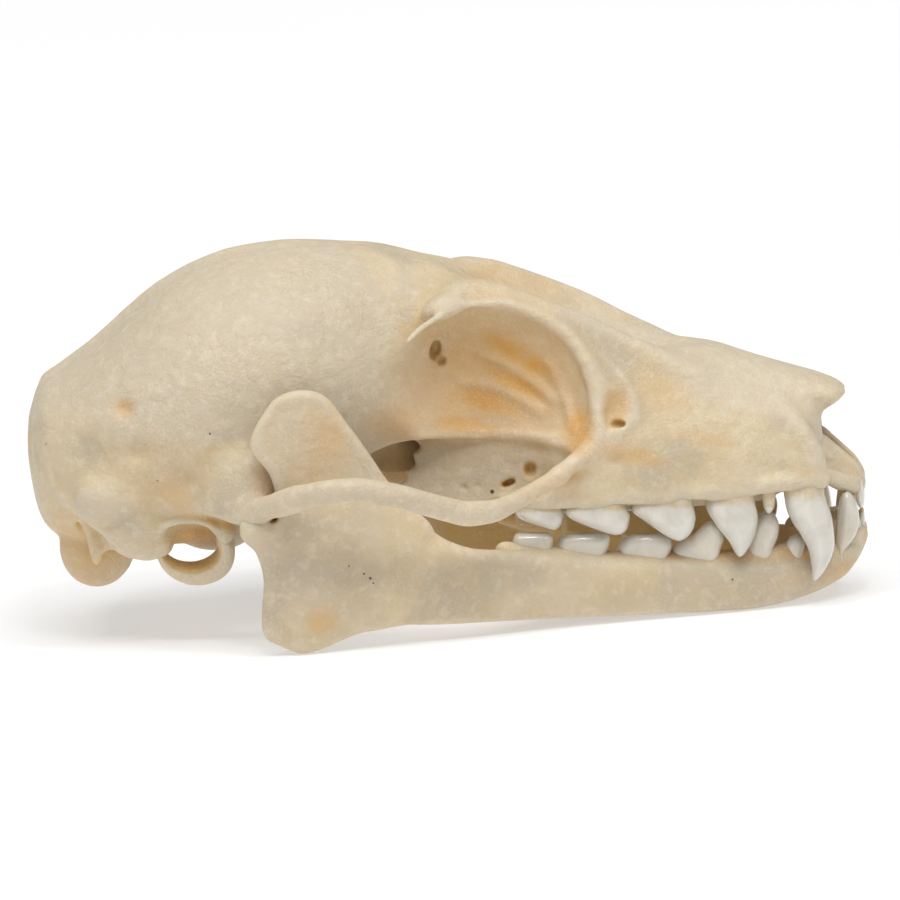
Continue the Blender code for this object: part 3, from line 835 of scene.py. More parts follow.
class Graph:
    """A material's nodes, with short ways to add and join them."""

    # How much of a dot's radius is fully dark.
    DOT_CORE = 0.6

    def __init__(self, name: str) -> None:
        """Starts a material with only its shader.

        Args:
            name: the material's name.
        """
        self.material = bpy.data.materials.new(name)
        self.material.use_nodes = True
        self.tree = self.material.node_tree
        self.shader = self.tree.nodes["Principled BSDF"]

    def node(self, kind: str, **settings: object) -> bpy.types.Node:
        """Adds a node.

        Args:
            kind: the node's type.
            settings: its own settings.

        Returns:
            The node.
        """
        made = self.tree.nodes.new(kind)
        for key, value in settings.items():
            setattr(made, key, value)
        return made

    def join(self, source: Socket, target: Socket) -> None:
        """A link from one socket to another."""
        self.tree.links.new(source, target)

    def fixed(self, **values: object) -> None:
        """Sets values on the shader's own sockets, named as these are but with _ for a space."""
        for key, value in values.items():
            self.shader.inputs[key.replace("_", " ")].default_value = value

    def places(self, stand: Stand | None = None) -> Socket:
        """Places on the object in millimetres.

        Args:
            stand: where the skull stands, for places in the skull's own frame.

        Returns:
            The places.
        """
        coordinates = self.node("ShaderNodeTexCoord")
        mapping = self.node("ShaderNodeMapping")
        mapping.inputs["Scale"].default_value = (1 / MM,) * 3
        if stand:
            back = Matrix.Rotation(-stand.pitch, 3, "Y")
            mapping.inputs["Rotation"].default_value = (0, -stand.pitch, 0)
            mapping.inputs["Location"].default_value = -(back @ stand.shift) / MM
        self.join(coordinates.outputs["Object"], mapping.inputs["Vector"])
        return mapping.outputs["Vector"]

    def stretched(self, places: Socket, scale: Point, turn: Point) -> Socket:
        """Turns places and draws them out, for a grain with a direction.

        Args:
            places: the places.
            scale: how much denser the grain gets along each axis.
            turn: the turn about each axis.

        Returns:
            The new places.
        """
        mapping = self.node("ShaderNodeMapping")
        mapping.inputs["Scale"].default_value = scale
        mapping.inputs["Rotation"].default_value = turn
        self.join(places, mapping.inputs["Vector"])
        return mapping.outputs["Vector"]

    def noise(self, places: Socket, noise: Noise) -> Socket:
        """Cloudy noise from 0 to 1.

        Args:
            places: where it is read.
            noise: how it looks.

        Returns:
            The noise.
        """
        made = self.node("ShaderNodeTexNoise")
        made.inputs["Scale"].default_value = noise.scale
        made.inputs["Detail"].default_value = noise.detail
        made.inputs["Distortion"].default_value = noise.warp
        self.join(places, made.inputs["Vector"])
        return made.outputs["Fac"]

    def spots(self, places: Socket, scale: float) -> Socket:
        """The distance to the nearest of many scattered spots.

        Args:
            places: where it is read.
            scale: how many spots there are a millimetre.

        Returns:
            The distance.
        """
        made = self.node("ShaderNodeTexVoronoi")
        made.inputs["Scale"].default_value = scale
        self.join(places, made.inputs["Vector"])
        return made.outputs["Distance"]

    def ranged(self, value: Socket, span: Span) -> Socket:
        """Draws one range of a value out to another, and holds it there.

        Args:
            value: the value.
            span: both ranges.

        Returns:
            The new value.
        """
        made = self.node("ShaderNodeMapRange")
        made.inputs["From Min"].default_value = span.low
        made.inputs["From Max"].default_value = span.high
        made.inputs["To Min"].default_value = span.least
        made.inputs["To Max"].default_value = span.most
        self.join(value, made.inputs["Value"])
        return made.outputs["Result"]

    def layer(self, places: Socket, layer: Layer) -> Socket:
        """The part of a noise that shows."""
        return self.ranged(self.noise(places, layer.noise), layer.shows)

    def times(self, a: Socket, b: Socket | float) -> Socket:
        """Multiplies a value.

        Args:
            a: the value.
            b: another value, or a number.

        Returns:
            The product.
        """
        made = self.node("ShaderNodeMath", operation="MULTIPLY")
        self.join(a, made.inputs[0])
        if isinstance(b, float):
            made.inputs[1].default_value = b
        else:
            self.join(b, made.inputs[1])
        return made.outputs[0]

    def mixed(self, share: Socket, a: Socket | Point, b: Socket | Point) -> Socket:
        """Turns one colour to another.

        Args:
            share: how much of the second there is, from 0 to 1.
            a: the first colour.
            b: the second.

        Returns:
            The mixed colour.
        """
        made = self.node("ShaderNodeMix", data_type="RGBA")
        self.join(share, made.inputs["Factor"])
        for socket, colour in ((made.inputs[6], a), (made.inputs[7], b)):
            if isinstance(colour, Socket):
                self.join(colour, socket)
            else:
                socket.default_value = (*colour, 1.0)
        return made.outputs[2]

    def marks(self) -> tuple[Socket, ...]:
        """The marks that the mesh carries.

        Returns:
            The ridge mark, the painted shade of hollows, the stains with some painted shade, and the grey
            veils.
        """
        read = self.node("ShaderNodeAttribute", attribute_name="marks")
        split = self.node("ShaderNodeSeparateColor")
        self.join(read.outputs["Color"], split.inputs["Color"])
        return (*(split.outputs[name] for name in ("Red", "Green", "Blue")), read.outputs["Alpha"])

    def dot(self, places: Socket, centre: Point, radius: float) -> Socket:
        """A small round mark on either side of the skull.

        Args:
            places: where it is read, in the skull's own frame.
            centre: its middle on the left side.
            radius: how far it reaches.

        Returns:
            1 inside the mark and 0 outside it.
        """
        mirror = self.node("ShaderNodeVectorMath", operation="ABSOLUTE")
        self.join(places, mirror.inputs[0])
        apart = self.node("ShaderNodeVectorMath", operation="DISTANCE")
        self.join(mirror.outputs[0], apart.inputs[0])
        apart.inputs[1].default_value = centre
        return self.ranged(apart.outputs["Value"], Span(radius * self.DOT_CORE, radius, 1.0, 0.0))

    def relief(self, heights: Sequence[tuple[Socket, float]]) -> None:
        """Bumps on the shader's normal.

        Args:
            heights: the heights, each with its depth in millimetres.
        """
        last = None
        for height, depth in heights:
            bump = self.node("ShaderNodeBump")
            bump.inputs["Strength"].default_value = 1.0
            bump.inputs["Distance"].default_value = depth * MM
            self.join(height, bump.inputs["Height"])
            if last is not None:
                self.join(last, bump.inputs["Normal"])
            last = bump.outputs["Normal"]
        self.join(last, self.shader.inputs["Normal"])


@dataclass(frozen=True)
class BoneFinish:
    """Dry ivory bone: tan and grey clouds, a sandy grain, painted dark pores and pits, and painted brown
    shade in its hollows.
    """

    name: str
    pores: tuple[tuple[Point, float], ...] = ()
    ivory: Point = (0.69, 0.57, 0.385)
    tan: Point = (0.62, 0.485, 0.29)
    grey: Point = (0.50, 0.43, 0.32)
    chalk: Point = (0.79, 0.705, 0.55)
    edge: Point = (0.655, 0.57, 0.43)
    sand: Point = (0.54, 0.40, 0.22)
    # The brown of painted shade in creases, holes and on inner sides, also laid on the painted fine pits.
    hollow: Point = (0.60, 0.395, 0.14)
    # The orange brown of stains, and of the shade painted on some stain patches.
    stain_and_shade: Point = (0.66, 0.35, 0.08)
    # The near black of the painted pinholes, which stands in for the shade inside them.
    pore: Point = (0.10, 0.06, 0.03)
    clouds: Layer = Layer(Noise(0.22, 4.0, 0.8), Span(0.4, 0.62))
    veils: Layer = Layer(Noise(0.33, 5.0, 0.6), Span(0.48, 0.66, 0.0, 0.75))
    veil_breaks: Layer = Layer(Noise(1.1, 4.0), Span(0.3, 0.6, 0.5, 1.0))
    stain_and_shade_breaks: Layer = Layer(Noise(0.9, 4.0, 0.5), Span(0.3, 0.6, 0.75, 1.0))
    ridge_shows: Span = Span(0.1, 0.75, 0.0, 0.8)
    shade_shows: Span = Span(0.2, 0.9, 0.0, 0.95)
    mottle: Noise = Noise(2.2, 5.0, 0.3)
    mottle_tan: Span = Span(0.52, 0.72, 0.0, 0.35)
    mottle_chalk: Span = Span(0.48, 0.3, 0.0, 0.3)
    grain: Noise = Noise(8.5, 4.0)
    grain_sand: Span = Span(0.52, 0.75, 0.0, 0.4)
    grain_chalk: Span = Span(0.48, 0.28, 0.0, 0.3)
    grain_patches: Layer = Layer(Noise(0.4, 3.0), Span(0.42, 0.6, 0.1, 1.0))
    # Fine pits, painted in the shade brown with no relief: how many, their size, where they show and how
    # dark.
    pits_per_mm: float = 1.9
    pit: Span = Span(0.05, 0.1, 1.0, 0.0)
    pit_patches: Layer = Layer(Noise(0.4, 2.0), Span(0.58, 0.64))
    pit_depth: float = 0.6
    roughness: Span = Span(0.3, 0.7, 0.4, 0.62)
    swells: Noise = Noise(0.7, 3.0, 1.0)
    swell_stretch: Point = (1.0, 1.0, 1.8)
    swell_turn: Point = (0.0, 0.5, 0.3)
    swell_height: float = 0.08
    mottle_height: float = 0.055
    grain_height: float = 0.035
    glow: float = 0.3
    glow_radii: Point = (1.0, 0.62, 0.34)
    glow_reach: float = 0.9
    specular: float = 0.45

    def build(self, stand: Stand) -> bpy.types.Material:
        """Makes the material.

        Args:
            stand: where the skull stands, for marks that have a place on it.

        Returns:
            The finished material.
        """
        g = Graph(self.name)
        places = g.places(stand)
        ridge, hollow, stain_and_shade, veil = g.marks()
        mottle, grain = g.noise(places, self.mottle), g.noise(places, self.grain)
        patches = g.layer(places, self.grain_patches)
        pits = g.ranged(g.spots(places, self.pits_per_mm), self.pit)
        pits = g.times(pits, g.layer(places, self.pit_patches))
        colour = g.mixed(g.layer(places, self.clouds), self.ivory, self.tan)
        for share, shade in (
            (g.layer(places, self.veils), self.grey),
            (g.ranged(ridge, self.ridge_shows), self.edge),
            (g.times(veil, g.layer(places, self.veil_breaks)), self.grey),
            (g.ranged(mottle, self.mottle_tan), self.tan),
            (g.ranged(mottle, self.mottle_chalk), self.chalk),
            # Stains, and shade painted on some of the patches.
            (g.times(stain_and_shade, g.layer(places, self.stain_and_shade_breaks)), self.stain_and_shade),
            # Painted shade in hollows and on inner sides.
            (g.ranged(hollow, self.shade_shows), self.hollow),
            (g.times(g.ranged(grain, self.grain_sand), patches), self.sand),
            (g.times(g.ranged(grain, self.grain_chalk), patches), self.chalk),
            # Painted shade of the fine pits.
            (g.times(pits, self.pit_depth), self.hollow),
            # Painted shade of the pinholes.
            *((g.dot(places, centre, radius), self.pore) for centre, radius in self.pores),
        ):
            colour = g.mixed(share, colour, shade)
        g.join(colour, g.shader.inputs["Base Color"])
        g.join(g.ranged(grain, self.roughness), g.shader.inputs["Roughness"])
        swells = g.noise(g.stretched(places, self.swell_stretch, self.swell_turn), self.swells)
        g.relief(((swells, self.swell_height), (mottle, self.mottle_height), (grain, self.grain_height)))
        g.fixed(Subsurface_Weight=self.glow, Subsurface_Radius=self.glow_radii)
        g.fixed(Subsurface_Scale=self.glow_reach * MM, Specular_IOR_Level=self.specular)
        return g.material


@dataclass(frozen=True)
class EnamelFinish:
    """Glossy tooth enamel: milky white, a little bluer at the tip, yellow in a thin line at the neck, and
    golden brown on the inner side from stain and painted shade.
    """

    name: str
    white: Point = (0.73, 0.695, 0.615)
    cloudy: Point = (0.62, 0.59, 0.515)
    neck: Point = (0.60, 0.43, 0.19)
    tip: Point = (0.67, 0.665, 0.64)
    # The golden brown of the inner side: partly stain, partly painted shade.
    inner: Point = (0.52, 0.35, 0.12)
    clouds: Layer = Layer(Noise(1.1, 3.0, 0.4), Span(0.4, 0.7))
    tip_shows: Span = Span(0.35, 1.0, 0.0, 0.6)
    neck_shows: Span = Span(0.0, 1.0, 0.0, 0.8)
    neck_breaks: Layer = Layer(Noise(2.0, 3.0), Span(0.35, 0.6, 0.3, 1.0))
    inner_shows: Span = Span(0.1, 1.0, 0.0, 0.85)
    roughness: Layer = Layer(Noise(6.0, 2.0), Span(0.35, 0.65, 0.1, 0.17))
    streaks: Noise = Noise(1.6, 2.0)
    streak_stretch: Point = (3.0, 3.0, 0.7)
    streak_height: float = 0.03
    glow: float = 0.35
    glow_radii: Point = (0.8, 0.75, 0.65)
    glow_reach: float = 0.5
    coat: float = 1.0
    coat_roughness: float = 0.05

    def build(self, stand: Stand) -> bpy.types.Material:
        """Makes the material.

        Args:
            stand: where the skull stands.

        Returns:
            The finished material.
        """
        g = Graph(self.name)
        places = g.places(stand)
        tip, neck, inner, _ = g.marks()
        colour = g.mixed(g.layer(places, self.clouds), self.white, self.cloudy)
        for share, shade in (
            (g.ranged(tip, self.tip_shows), self.tip),
            (g.times(g.ranged(neck, self.neck_shows), g.layer(places, self.neck_breaks)), self.neck),
            (g.ranged(inner, self.inner_shows), self.inner),
        ):
            colour = g.mixed(share, colour, shade)
        g.join(colour, g.shader.inputs["Base Color"])
        g.join(g.layer(places, self.roughness), g.shader.inputs["Roughness"])
        streaks = g.noise(g.stretched(places, self.streak_stretch, (0.0, 0.0, 0.0)), self.streaks)
        g.relief(((streaks, self.streak_height),))
        g.fixed(Subsurface_Weight=self.glow, Subsurface_Radius=self.glow_radii)
        g.fixed(Subsurface_Scale=self.glow_reach * MM)
        g.fixed(Coat_Weight=self.coat, Coat_Roughness=self.coat_roughness)
        return g.material


@dataclass
class Piece:
    """One dressed piece before it is set down: its mesh in skull millimetres and the nodes it stands for."""

    name: str
    points: np.ndarray
    faces: np.ndarray
    marks: Marks
    sheen: Sheen
    nodes: tuple[str, ...] = ()

    def mirrored(self, name: str, nodes: tuple[str, ...]) -> Piece:
        """The same piece for the right side."""
        return Piece(name, self.points * (1, -1, 1), self.faces[:, ::-1], self.marks, self.sheen, nodes)


def mesh_of(name: str, points: np.ndarray, faces: np.ndarray) -> bpy.types.Mesh:
    """Makes a mesh.

    Args:
        name: its name.
        points: the vertices.
        faces: the vertex numbers of faces with the same number of corners each.

    Returns:
        The mesh.
    """
    mesh = bpy.data.meshes.new(name)
    corners = faces.shape[1]
    mesh.vertices.add(len(points))
    mesh.vertices.foreach_set("co", points.astype(np.float32).ravel())
    mesh.loops.add(faces.size)
    mesh.loops.foreach_set("vertex_index", faces.astype(np.int32).ravel())
    mesh.polygons.add(len(faces))
    mesh.polygons.foreach_set("loop_start", np.arange(0, faces.size, corners, dtype=np.int32))
    mesh.polygons.foreach_set("loop_total", np.full(len(faces), corners, dtype=np.int32))
    mesh.update(calc_edges=True)
    mesh.validate()
    return mesh


def thinned(points: np.ndarray, faces: np.ndarray, triangles: int) -> ThreeArrays:
    """Thins a skin where it is flat.

    Args:
        points: the vertices.
        faces: the faces.
        triangles: about how many triangles are kept.

    Returns:
        The vertices, the triangles and the normal at each vertex.
    """
    obj = bpy.data.objects.new("thinned", mesh_of("thinned", points, faces))
    bpy.context.scene.collection.objects.link(obj)
    if triangles < 2 * len(faces):
        thin = obj.modifiers.new("thin", "DECIMATE")
        thin.ratio = triangles / (2 * len(faces))
    split = obj.modifiers.new("split", "TRIANGULATE")
    split.quad_method = "SHORTEST_DIAGONAL"
    graph = bpy.context.evaluated_depsgraph_get()
    mesh = bpy.data.meshes.new_from_object(obj.evaluated_get(graph))
    count = len(mesh.vertices)
    places = np.empty(count * 3, np.float32)
    mesh.vertices.foreach_get("co", places)
    normals = np.empty(count * 3, np.float32)
    mesh.vertex_normals.foreach_get("vector", normals)
    corners = np.empty(len(mesh.loops), np.int32)
    mesh.loops.foreach_get("vertex_index", corners)
    bpy.data.objects.remove(obj, do_unlink=True)
    bpy.data.meshes.remove(mesh)
    return places.reshape(-1, 3).astype(float), corners.reshape(-1, 3), normals.reshape(-1, 3).astype(float)


@dataclass
class Bone:
    """A bone worked in clay: its block, how fine it is, how rough, and how many triangles it keeps."""

    low: Point = (0.0, 0.0, 0.0)
    high: Point = (0.0, 0.0, 0.0)
    step: float = BONE_STEP
    triangles: int = 60_000
    roughness: float = 0.016
    softening: int = 1
    patches: tuple[Patch, ...] = ()
    veils: tuple[Patch, ...] = ()
    # Patches painted with full shade, and patches where the painted shade is lifted.
    shade_spots: tuple[Patch, ...] = ()
    pales: tuple[Patch, ...] = ()
    # The relief's lumps: their width, the shift of their noise, and their share of the roughness.
    relief: tuple[Point, ...] = ((0.9, 0.0, 0.5), (0.42, 5.0, 0.35))
    smoothing: int = 5
    sharp_bend: float = 2.2
    shade_reaches: tuple[float, ...] = (0.5, 1.1)
    # The painted shade, in brown, on the jaws' inner sides: how strong it is, where it starts and over what
    # length, and its top.
    inner_shade: float = 1.0
    brown_from: float = 17.0
    brown_over: float = 2.0
    brown_top: float = 13.4

    def clay(self) -> Clay:
        """The bone's left side as clay."""
        raise NotImplementedError

    def surface(self, clay: Clay, both_sides: bool) -> tuple[np.ndarray, np.ndarray, Marks]:
        """Skins the clay, roughens it and reads its marks.

        Args:
            clay: the worked clay.
            both_sides: whether the right side is skinned with it.

        Returns:
            The vertices, the triangles and the marks.
        """
        clay.soften(self.softening)
        points, faces = clay.skin(both_sides)
        points, faces, normals = thinned(points, faces, self.triangles)
        marks = self.marks(clay, points, normals)
        grain = Grain(seed=7)
        relief = sum(grain.read(points + shift, width) * share for width, shift, share in self.relief)
        points = points + normals * (relief * self.roughness)[:, None]
        return points, faces, marks

    def marks(self, clay: Clay, points: np.ndarray, normals: np.ndarray) -> Marks:
        """Finds ridges from how the surface bends, and paints shade in hollows from how near other bone is.

        Args:
            clay: the worked clay.
            points: the vertices.
            normals: the normal at each vertex.

        Returns:
            The marks.
        """
        smooth = blurred(np.clip(clay.d, -1, 1), self.smoothing)
        bend = -6 * smooth
        for axis in range(3):
            bend += np.roll(smooth, 1, axis) + np.roll(smooth, -1, axis)
        bend[:, 0] = bend[:, 1]
        curve = clay.read(bend, points) / clay.step**2
        # Painted shade: browner where other bone lies near along the normal, on the jaws' inner sides and in
        # the full-shade patches.
        shade = np.zeros(len(points))
        for far in self.shade_reaches:
            near = np.clip(1 - clay.read(clay.d, points + normals * far) / far, 0, 1)
            shade += near / len(self.shade_reaches)
        inward = np.clip(-normals[:, 1] * np.sign(points[:, 1]), 0, 1)
        inward = inward * np.clip((points[:, 0] - self.brown_from) / self.brown_over, 0, 1)
        inward = inward * np.clip(self.brown_top - points[:, 2], 0, 1)
        shade = self.strongest(points, self.shade_spots, np.maximum(shade, self.inner_shade * inward))
        for patch in self.pales:
            shade = shade * (1 - np.minimum(patch.read(points), 1))
        none = np.zeros(len(points))
        stain_and_shade, veil = self.strongest(points, self.patches, none), self.strongest(points, self.veils, none)
        return Marks(*(np.clip(values, 0, 1) for values in (curve / self.sharp_bend, shade, stain_and_shade, veil)))

    def strongest(self, points: np.ndarray, patches: Sequence[Patch], least: np.ndarray) -> np.ndarray:
        """The strongest of several patches.

        Args:
            points: the vertices.
            patches: the patches.
            least: what each vertex has without them.

        Returns:
            One value a vertex.
        """
        for patch in patches:
            least = np.maximum(least, patch.read(points))
        return least


@dataclass
class Pair(Bone):
    """A bone that the skull has on each side: its pieces' name and the node that each of them stands for."""

    name: str = ""
    node: str = ""
    steps: tuple[Step, ...] = ()

    def clay(self) -> Clay:
        """The left bone as clay."""
        return Clay(self.low, self.high, self.step).work(*self.steps)

    def darkened(self, points: np.ndarray, marks: Marks) -> Marks:
        """The marks, with the shade that is painted on this bone alone."""
        return marks

    def pieces(self) -> list[Piece]:
        """The left bone and its mirror image.

        Returns:
            Both pieces.
        """
        points, faces, marks = self.surface(self.clay(), both_sides=False)
        marks = self.darkened(points, marks)
        left = Piece(f"{self.name}_left", points, faces, marks, Sheen.BONE, (f"{self.node}_left",))
        return [left, left.mirrored(f"{self.name}_right", (f"{self.node}_right",))]


@dataclass
class Cranium(Bone):
    """The braincase, the face and the cheek bars, which are one fused bone."""

    low: Point = (-0.6, 0.0, 3.2)
    high: Point = (38.4, 12.4, 19.8)
    triangles: int = 196_000
    wall: float = 0.42
    patches: tuple[Patch, ...] = (
        Patch((20.8, 3.2, 13.0), (4.1, 2.4, 2.8), 0.58),
        Patch((22.2, 3.5, 14.1), (2.3, 1.8, 0.6), 1.0, 30),
        Patch((21.9, 3.2, 12.9), (1.9, 1.8, 0.45), 0.95, 25),
        Patch((20.7, 3.0, 12.0), (1.9, 1.8, 0.6), 1.0, 15),
        Patch((19.6, 3.0, 11.0), (1.8, 1.8, 0.4), 0.8, 5),
        Patch((24.9, 4.8, 10.9), (0.7, 1.6, 1.2), 0.85),
        # Painted shade in the furrow of the cheek, in orange brown.
        Patch((27.4, 5.6, 9.9), (1.5, 1.0, 0.4), 0.5, 12),
        Patch((26.6, 4.9, 12.2), (0.6, 0.8, 1.1), 0.4),
        Patch((17.0, 4.2, 11.2), (1.6, 2.0, 1.0), 0.45),
        Patch((30.6, 4.6, 10.6), (1.6, 1.5, 0.25), 0.22, 15),
        Patch((28.6, 4.9, 12.8), (1.6, 1.5, 0.8), 0.2, 30),
        Patch((6.9, 4.6, 6.3), (1.7, 1.2, 0.7), 0.8),
        Patch((6.8, 7.0, 8.3), (1.2, 1.5, 0.6), 0.35, 40),
        Patch((6.0, 7.0, 9.6), (2.2, 1.5, 1.4), 0.2),
        Patch((11.2, 7.4, 9.0), (1.2, 1.5, 1.0), 0.4),
        Patch((4.3, 6.6, 12.3), (0.5, 0.9, 0.45), 0.45),
        Patch((2.6, 3.2, 5.6), (1.8, 1.8, 2.4), 0.4),
        Patch((22.0, 2.0, 16.8), (3.5, 1.6, 1.0), 0.2),
        Patch((23.2, 7.4, 8.9), (1.6, 1.6, 0.6), 0.22, -20),
    )
    veils: tuple[Patch, ...] = (
        Patch((20.6, 3.0, 9.2), (3.4, 1.0, 1.2), 0.95),
        # Painted shade inside the upper hole of the eye socket.
        Patch((18.5, 3.0, 14.2), (0.35, 0.5, 0.7), 1.0),
        # Painted shade in the hollow of the back corner.
        Patch((2.5, 6.0, 10.2), (0.8, 1.5, 0.9), 0.9),
        Patch((2.4, 4.5, 12.6), (0.8, 1.5, 0.8), 0.4),
        # Painted shade along the furrow above the cheek bar.
        Patch((8.2, 7.4, 9.8), (1.3, 1.5, 0.35), 0.8, -38),
        Patch((9.2, 7.4, 13.0), (1.9, 1.5, 1.4), 0.65, -20),
        Patch((12.9, 6.0, 15.6), (1.6, 2.0, 1.1), 0.6),
        Patch((6.3, 6.4, 14.2), (1.8, 2.0, 1.0), 0.35, -30),
        Patch((14.6, 6.6, 12.4), (1.5, 2.5, 2.2), 0.4),
        Patch((4.9, 6.6, 10.6), (0.9, 1.5, 0.5), 0.4),
        Patch((20.6, 3.5, 10.95), (3.4, 0.8, 0.4), 0.5),
        # Painted shade on the front of the muzzle, where it turns inward.
        Patch((35.9, 2.8, 11.2), (0.5, 1.0, 0.9), 0.35),
        Patch((8.5, 6.5, 12.5), (7.0, 6.0, 5.5), 0.42),
        Patch((13.5, 4.5, 16.5), (3.0, 3.0, 1.8), 0.4),
        Patch((3.2, 3.0, 4.6), (1.5, 1.2, 1.4), 0.45),
        Patch((21.5, 8.7, 8.4), (2.5, 1.5, 0.8), 0.3),
        Patch((16.5, 10.8, 9.1), (5.0, 1.5, 0.9), 0.5),
    )
    # Painted full shade in the throat's opening behind the plate and in the hole in the plate.
    shade_spots: tuple[Patch, ...] = (
        Patch((16.6, 0.6, 9.0), (1.5, 1.3, 1.6), 0.8),
        Patch((22.73, 3.6, 8.95), (0.32, 0.6, 0.36)),
    )
    # Places where the painted shade is lifted: behind the jaw's blade and at the front and top of the eye
    # socket.
    pales: tuple[Patch, ...] = (
        Patch((9.8, 7.8, 8.9), (1.6, 2.0, 1.2)),
        Patch((24.4, 4.4, 13.8), (1.4, 2.0, 2.4), 0.7),
        Patch((20.5, 4.4, 16.0), (3.5, 2.0, 1.0), 0.7),
    )
    shell: tuple[Step, ...] = (
        Step("braincase", Sections(BRAINCASE), 0.0),
        Step("face", Sections(FACE), 0.9),
        Step("nasal bones", Sections(NASALS), 0.5),
    )
    crests: tuple[Step, ...] = (
        Step("low crest on the roof", Bar((
            (1.0, 0, 12.5, 0.3), (3.0, 0, 13.98, 0.3), (6.0, 0, 16.62, 0.3), (9.0, 0, 18.08, 0.3),
            (12.5, 0, 18.42, 0.28),
        )), 0.6),
        Step("line of the temple muscle", Bar((
            (3.6, 1.7, 14.1, 0.12), (6.0, 2.3, 16.05, 0.15), (9.0, 2.7, 17.3, 0.15),
            (12.0, 2.3, 18.05, 0.12),
        )), 0.5),
        Step("ridge round the back of the head", Bar((
            (0.45, 2.6, 10.7, 0.15), (0.62, 3.6, 8.9, 0.18), (1.5, 4.75, 8.1, 0.2), (2.7, 5.6, 7.2, 0.24),
            (4.1, 6.0, 6.3, 0.3), (5.4, 5.8, 5.6, 0.34),
        )), 0.45),
        Step("swelling above that ridge", Lump((3.9, 5.9, 8.0), (1.7, 1.1, 1.2)), 0.6),
        Step("furrow behind the ridge", Bar((
            (2.35, 4.6, 6.7, 0.16), (2.5, 4.4, 5.9, 0.2), (2.6, 4.2, 5.0, 0.22),
        )), 0.25, Work.CUT),
        Step("flat of the back corner", Lump((2.5, 8.7, 10.3), (1.5, 3.0, 1.3)), 0.8, Work.CUT),
        Step("dimple in the side", Lump((4.3, 7.0, 12.3), (0.45, 0.9, 0.4)), 0.4, Work.CUT),
        Step("dip above the swelling", Lump((4.9, 8.6, 10.3), (0.9, 2.0, 0.7)), 0.5, Work.CUT),
        Step("furrow above the cheek bar", Bar((
            (7.2, 7.3, 9.0, 0.35), (8.2, 7.7, 9.8, 0.45), (9.1, 7.9, 10.7, 0.35),
        )), 0.7, Work.CUT),
    )
    skull_base: tuple[Step, ...] = (
        Step("condyle", Lump((3.1, 2.75, 5.35), (1.72, 1.05, 1.93), 8), 0.3),
        Step("process beside the condyle", Plate((
            (2.5, 7.3), (2.65, 5.9), (2.85, 5.05), (3.05, 4.75), (3.25, 4.9), (3.5, 5.4), (4.1, 5.7),
            (4.4, 6.3), (3.6, 7.4),
        ), y=4.75, thickness=0.3, rim=0.3), 0.3),
        Step("swelling behind the ear", Lump((5.1, 5.3, 6.6), (1.7, 1.2, 1.45)), 0.5),
        Step("its tip", Lump((5.9, 5.6, 5.75), (0.6, 0.6, 0.45)), 0.3),
        Step("inner ear's capsule", Lump((8.4, 3.5, 6.7), (2.1, 1.45, 1.45)), 0.4),
        Step("bridge to the capsule", Lump((6.9, 4.6, 6.35), (1.1, 0.8, 0.6)), 0.3),
        Step("side of the base", Lump((9.6, 5.4, 9.1), (3.1, 2.3, 2.0)), 1.0),
        Step("root of the cheek bar", Bar((
            (6.0, 6.3, 7.95, 0.3), (7.7, 7.1, 8.05, 0.42), (9.5, 8.1, 7.95, 0.5), (10.9, 9.4, 8.26, 0.54),
            (12.2, 10.45, 8.82, 0.55),
        )), 0.8),
        Step("bone over the jaw joint", Lump((10.3, 6.5, 8.7), (2.2, 1.6, 1.2)), 1.0),
        Step("its outer side", Lump((9.9, 7.25, 9.0), (1.6, 1.05, 1.25)), 0.9),
        Step("roof of the jaw joint", Lump((10.2, 8.0, 7.66), (1.2, 1.3, 0.42)), 0.5),
        Step("stop behind the joint", Lump((8.9, 6.3, 6.6), (0.45, 0.6, 0.6)), 0.4),
        Step("ear opening", Lump((7.3, 7.0, 6.4), (1.3, 1.3, 0.62)), 0.25, Work.CUT),
        Step("lip of the ear opening", Bar((
            (5.8, 6.1, 6.5, 0.16), (6.3, 6.4, 6.95, 0.18), (7.2, 6.5, 7.15, 0.18), (8.0, 6.5, 7.05, 0.18),
            (8.6, 6.4, 6.7, 0.2),
        )), 0.3),
        Step("bar beside the throat", Bar((
            (19.0, 2.6, 8.4, 0.4), (17.0, 2.2, 7.7, 0.3), (15.0, 1.95, 7.2, 0.28), (13.4, 1.95, 7.2, 0.26),
            (12.7, 2.0, 6.5, 0.2),
        )), 0.35),
    )
    brow: tuple[Step, ...] = (
        Step("swollen brow and the ridge in front of it", Bar((
            (17.7, 5.4, 15.8, 0.15), (18.5, 4.85, 16.35, 0.3), (19.5, 3.6, 16.88, 0.45),
            (20.6, 3.0, 16.9, 0.5), (22.2, 3.0, 16.5, 0.45), (23.6, 3.15, 16.03, 0.4),
            (25.1, 3.05, 15.48, 0.38), (26.9, 2.95, 14.66, 0.3), (28.9, 2.75, 13.72, 0.2),
            (30.2, 2.6, 13.1, 0.1),
        )), 1.2),
        Step("trough of the forehead", Bar((
            (20.0, 0, 21.4, 3.6), (21.4, 0, 20.5, 3.6), (22.8, 0, 19.75, 3.7), (24.5, 0, 19.2, 3.8),
            (26.5, 0, 18.3, 3.7), (28.5, 0, 17.55, 3.6), (30.5, 0, 17.75, 3.4),
        )), 0.5, Work.CUT),
    )
    socket: tuple[Step, ...] = (Step("eye socket", ORBIT, 0.4, Work.CUT),)
    struts: tuple[tuple[tuple[float, float], ...], ...] = (
        ((20.6, 14.2), (22.2, 13.4), (23.9, 12.1)),
        ((19.6, 12.9), (21.3, 12.6), (23.2, 11.6)),
        ((23.6, 13.8), (24.3, 12.4), (24.7, 11.0)),
    )
    strut_radius: float = 0.12
    strut_sunk: float = 0.06
    strut_blend: float = 0.45
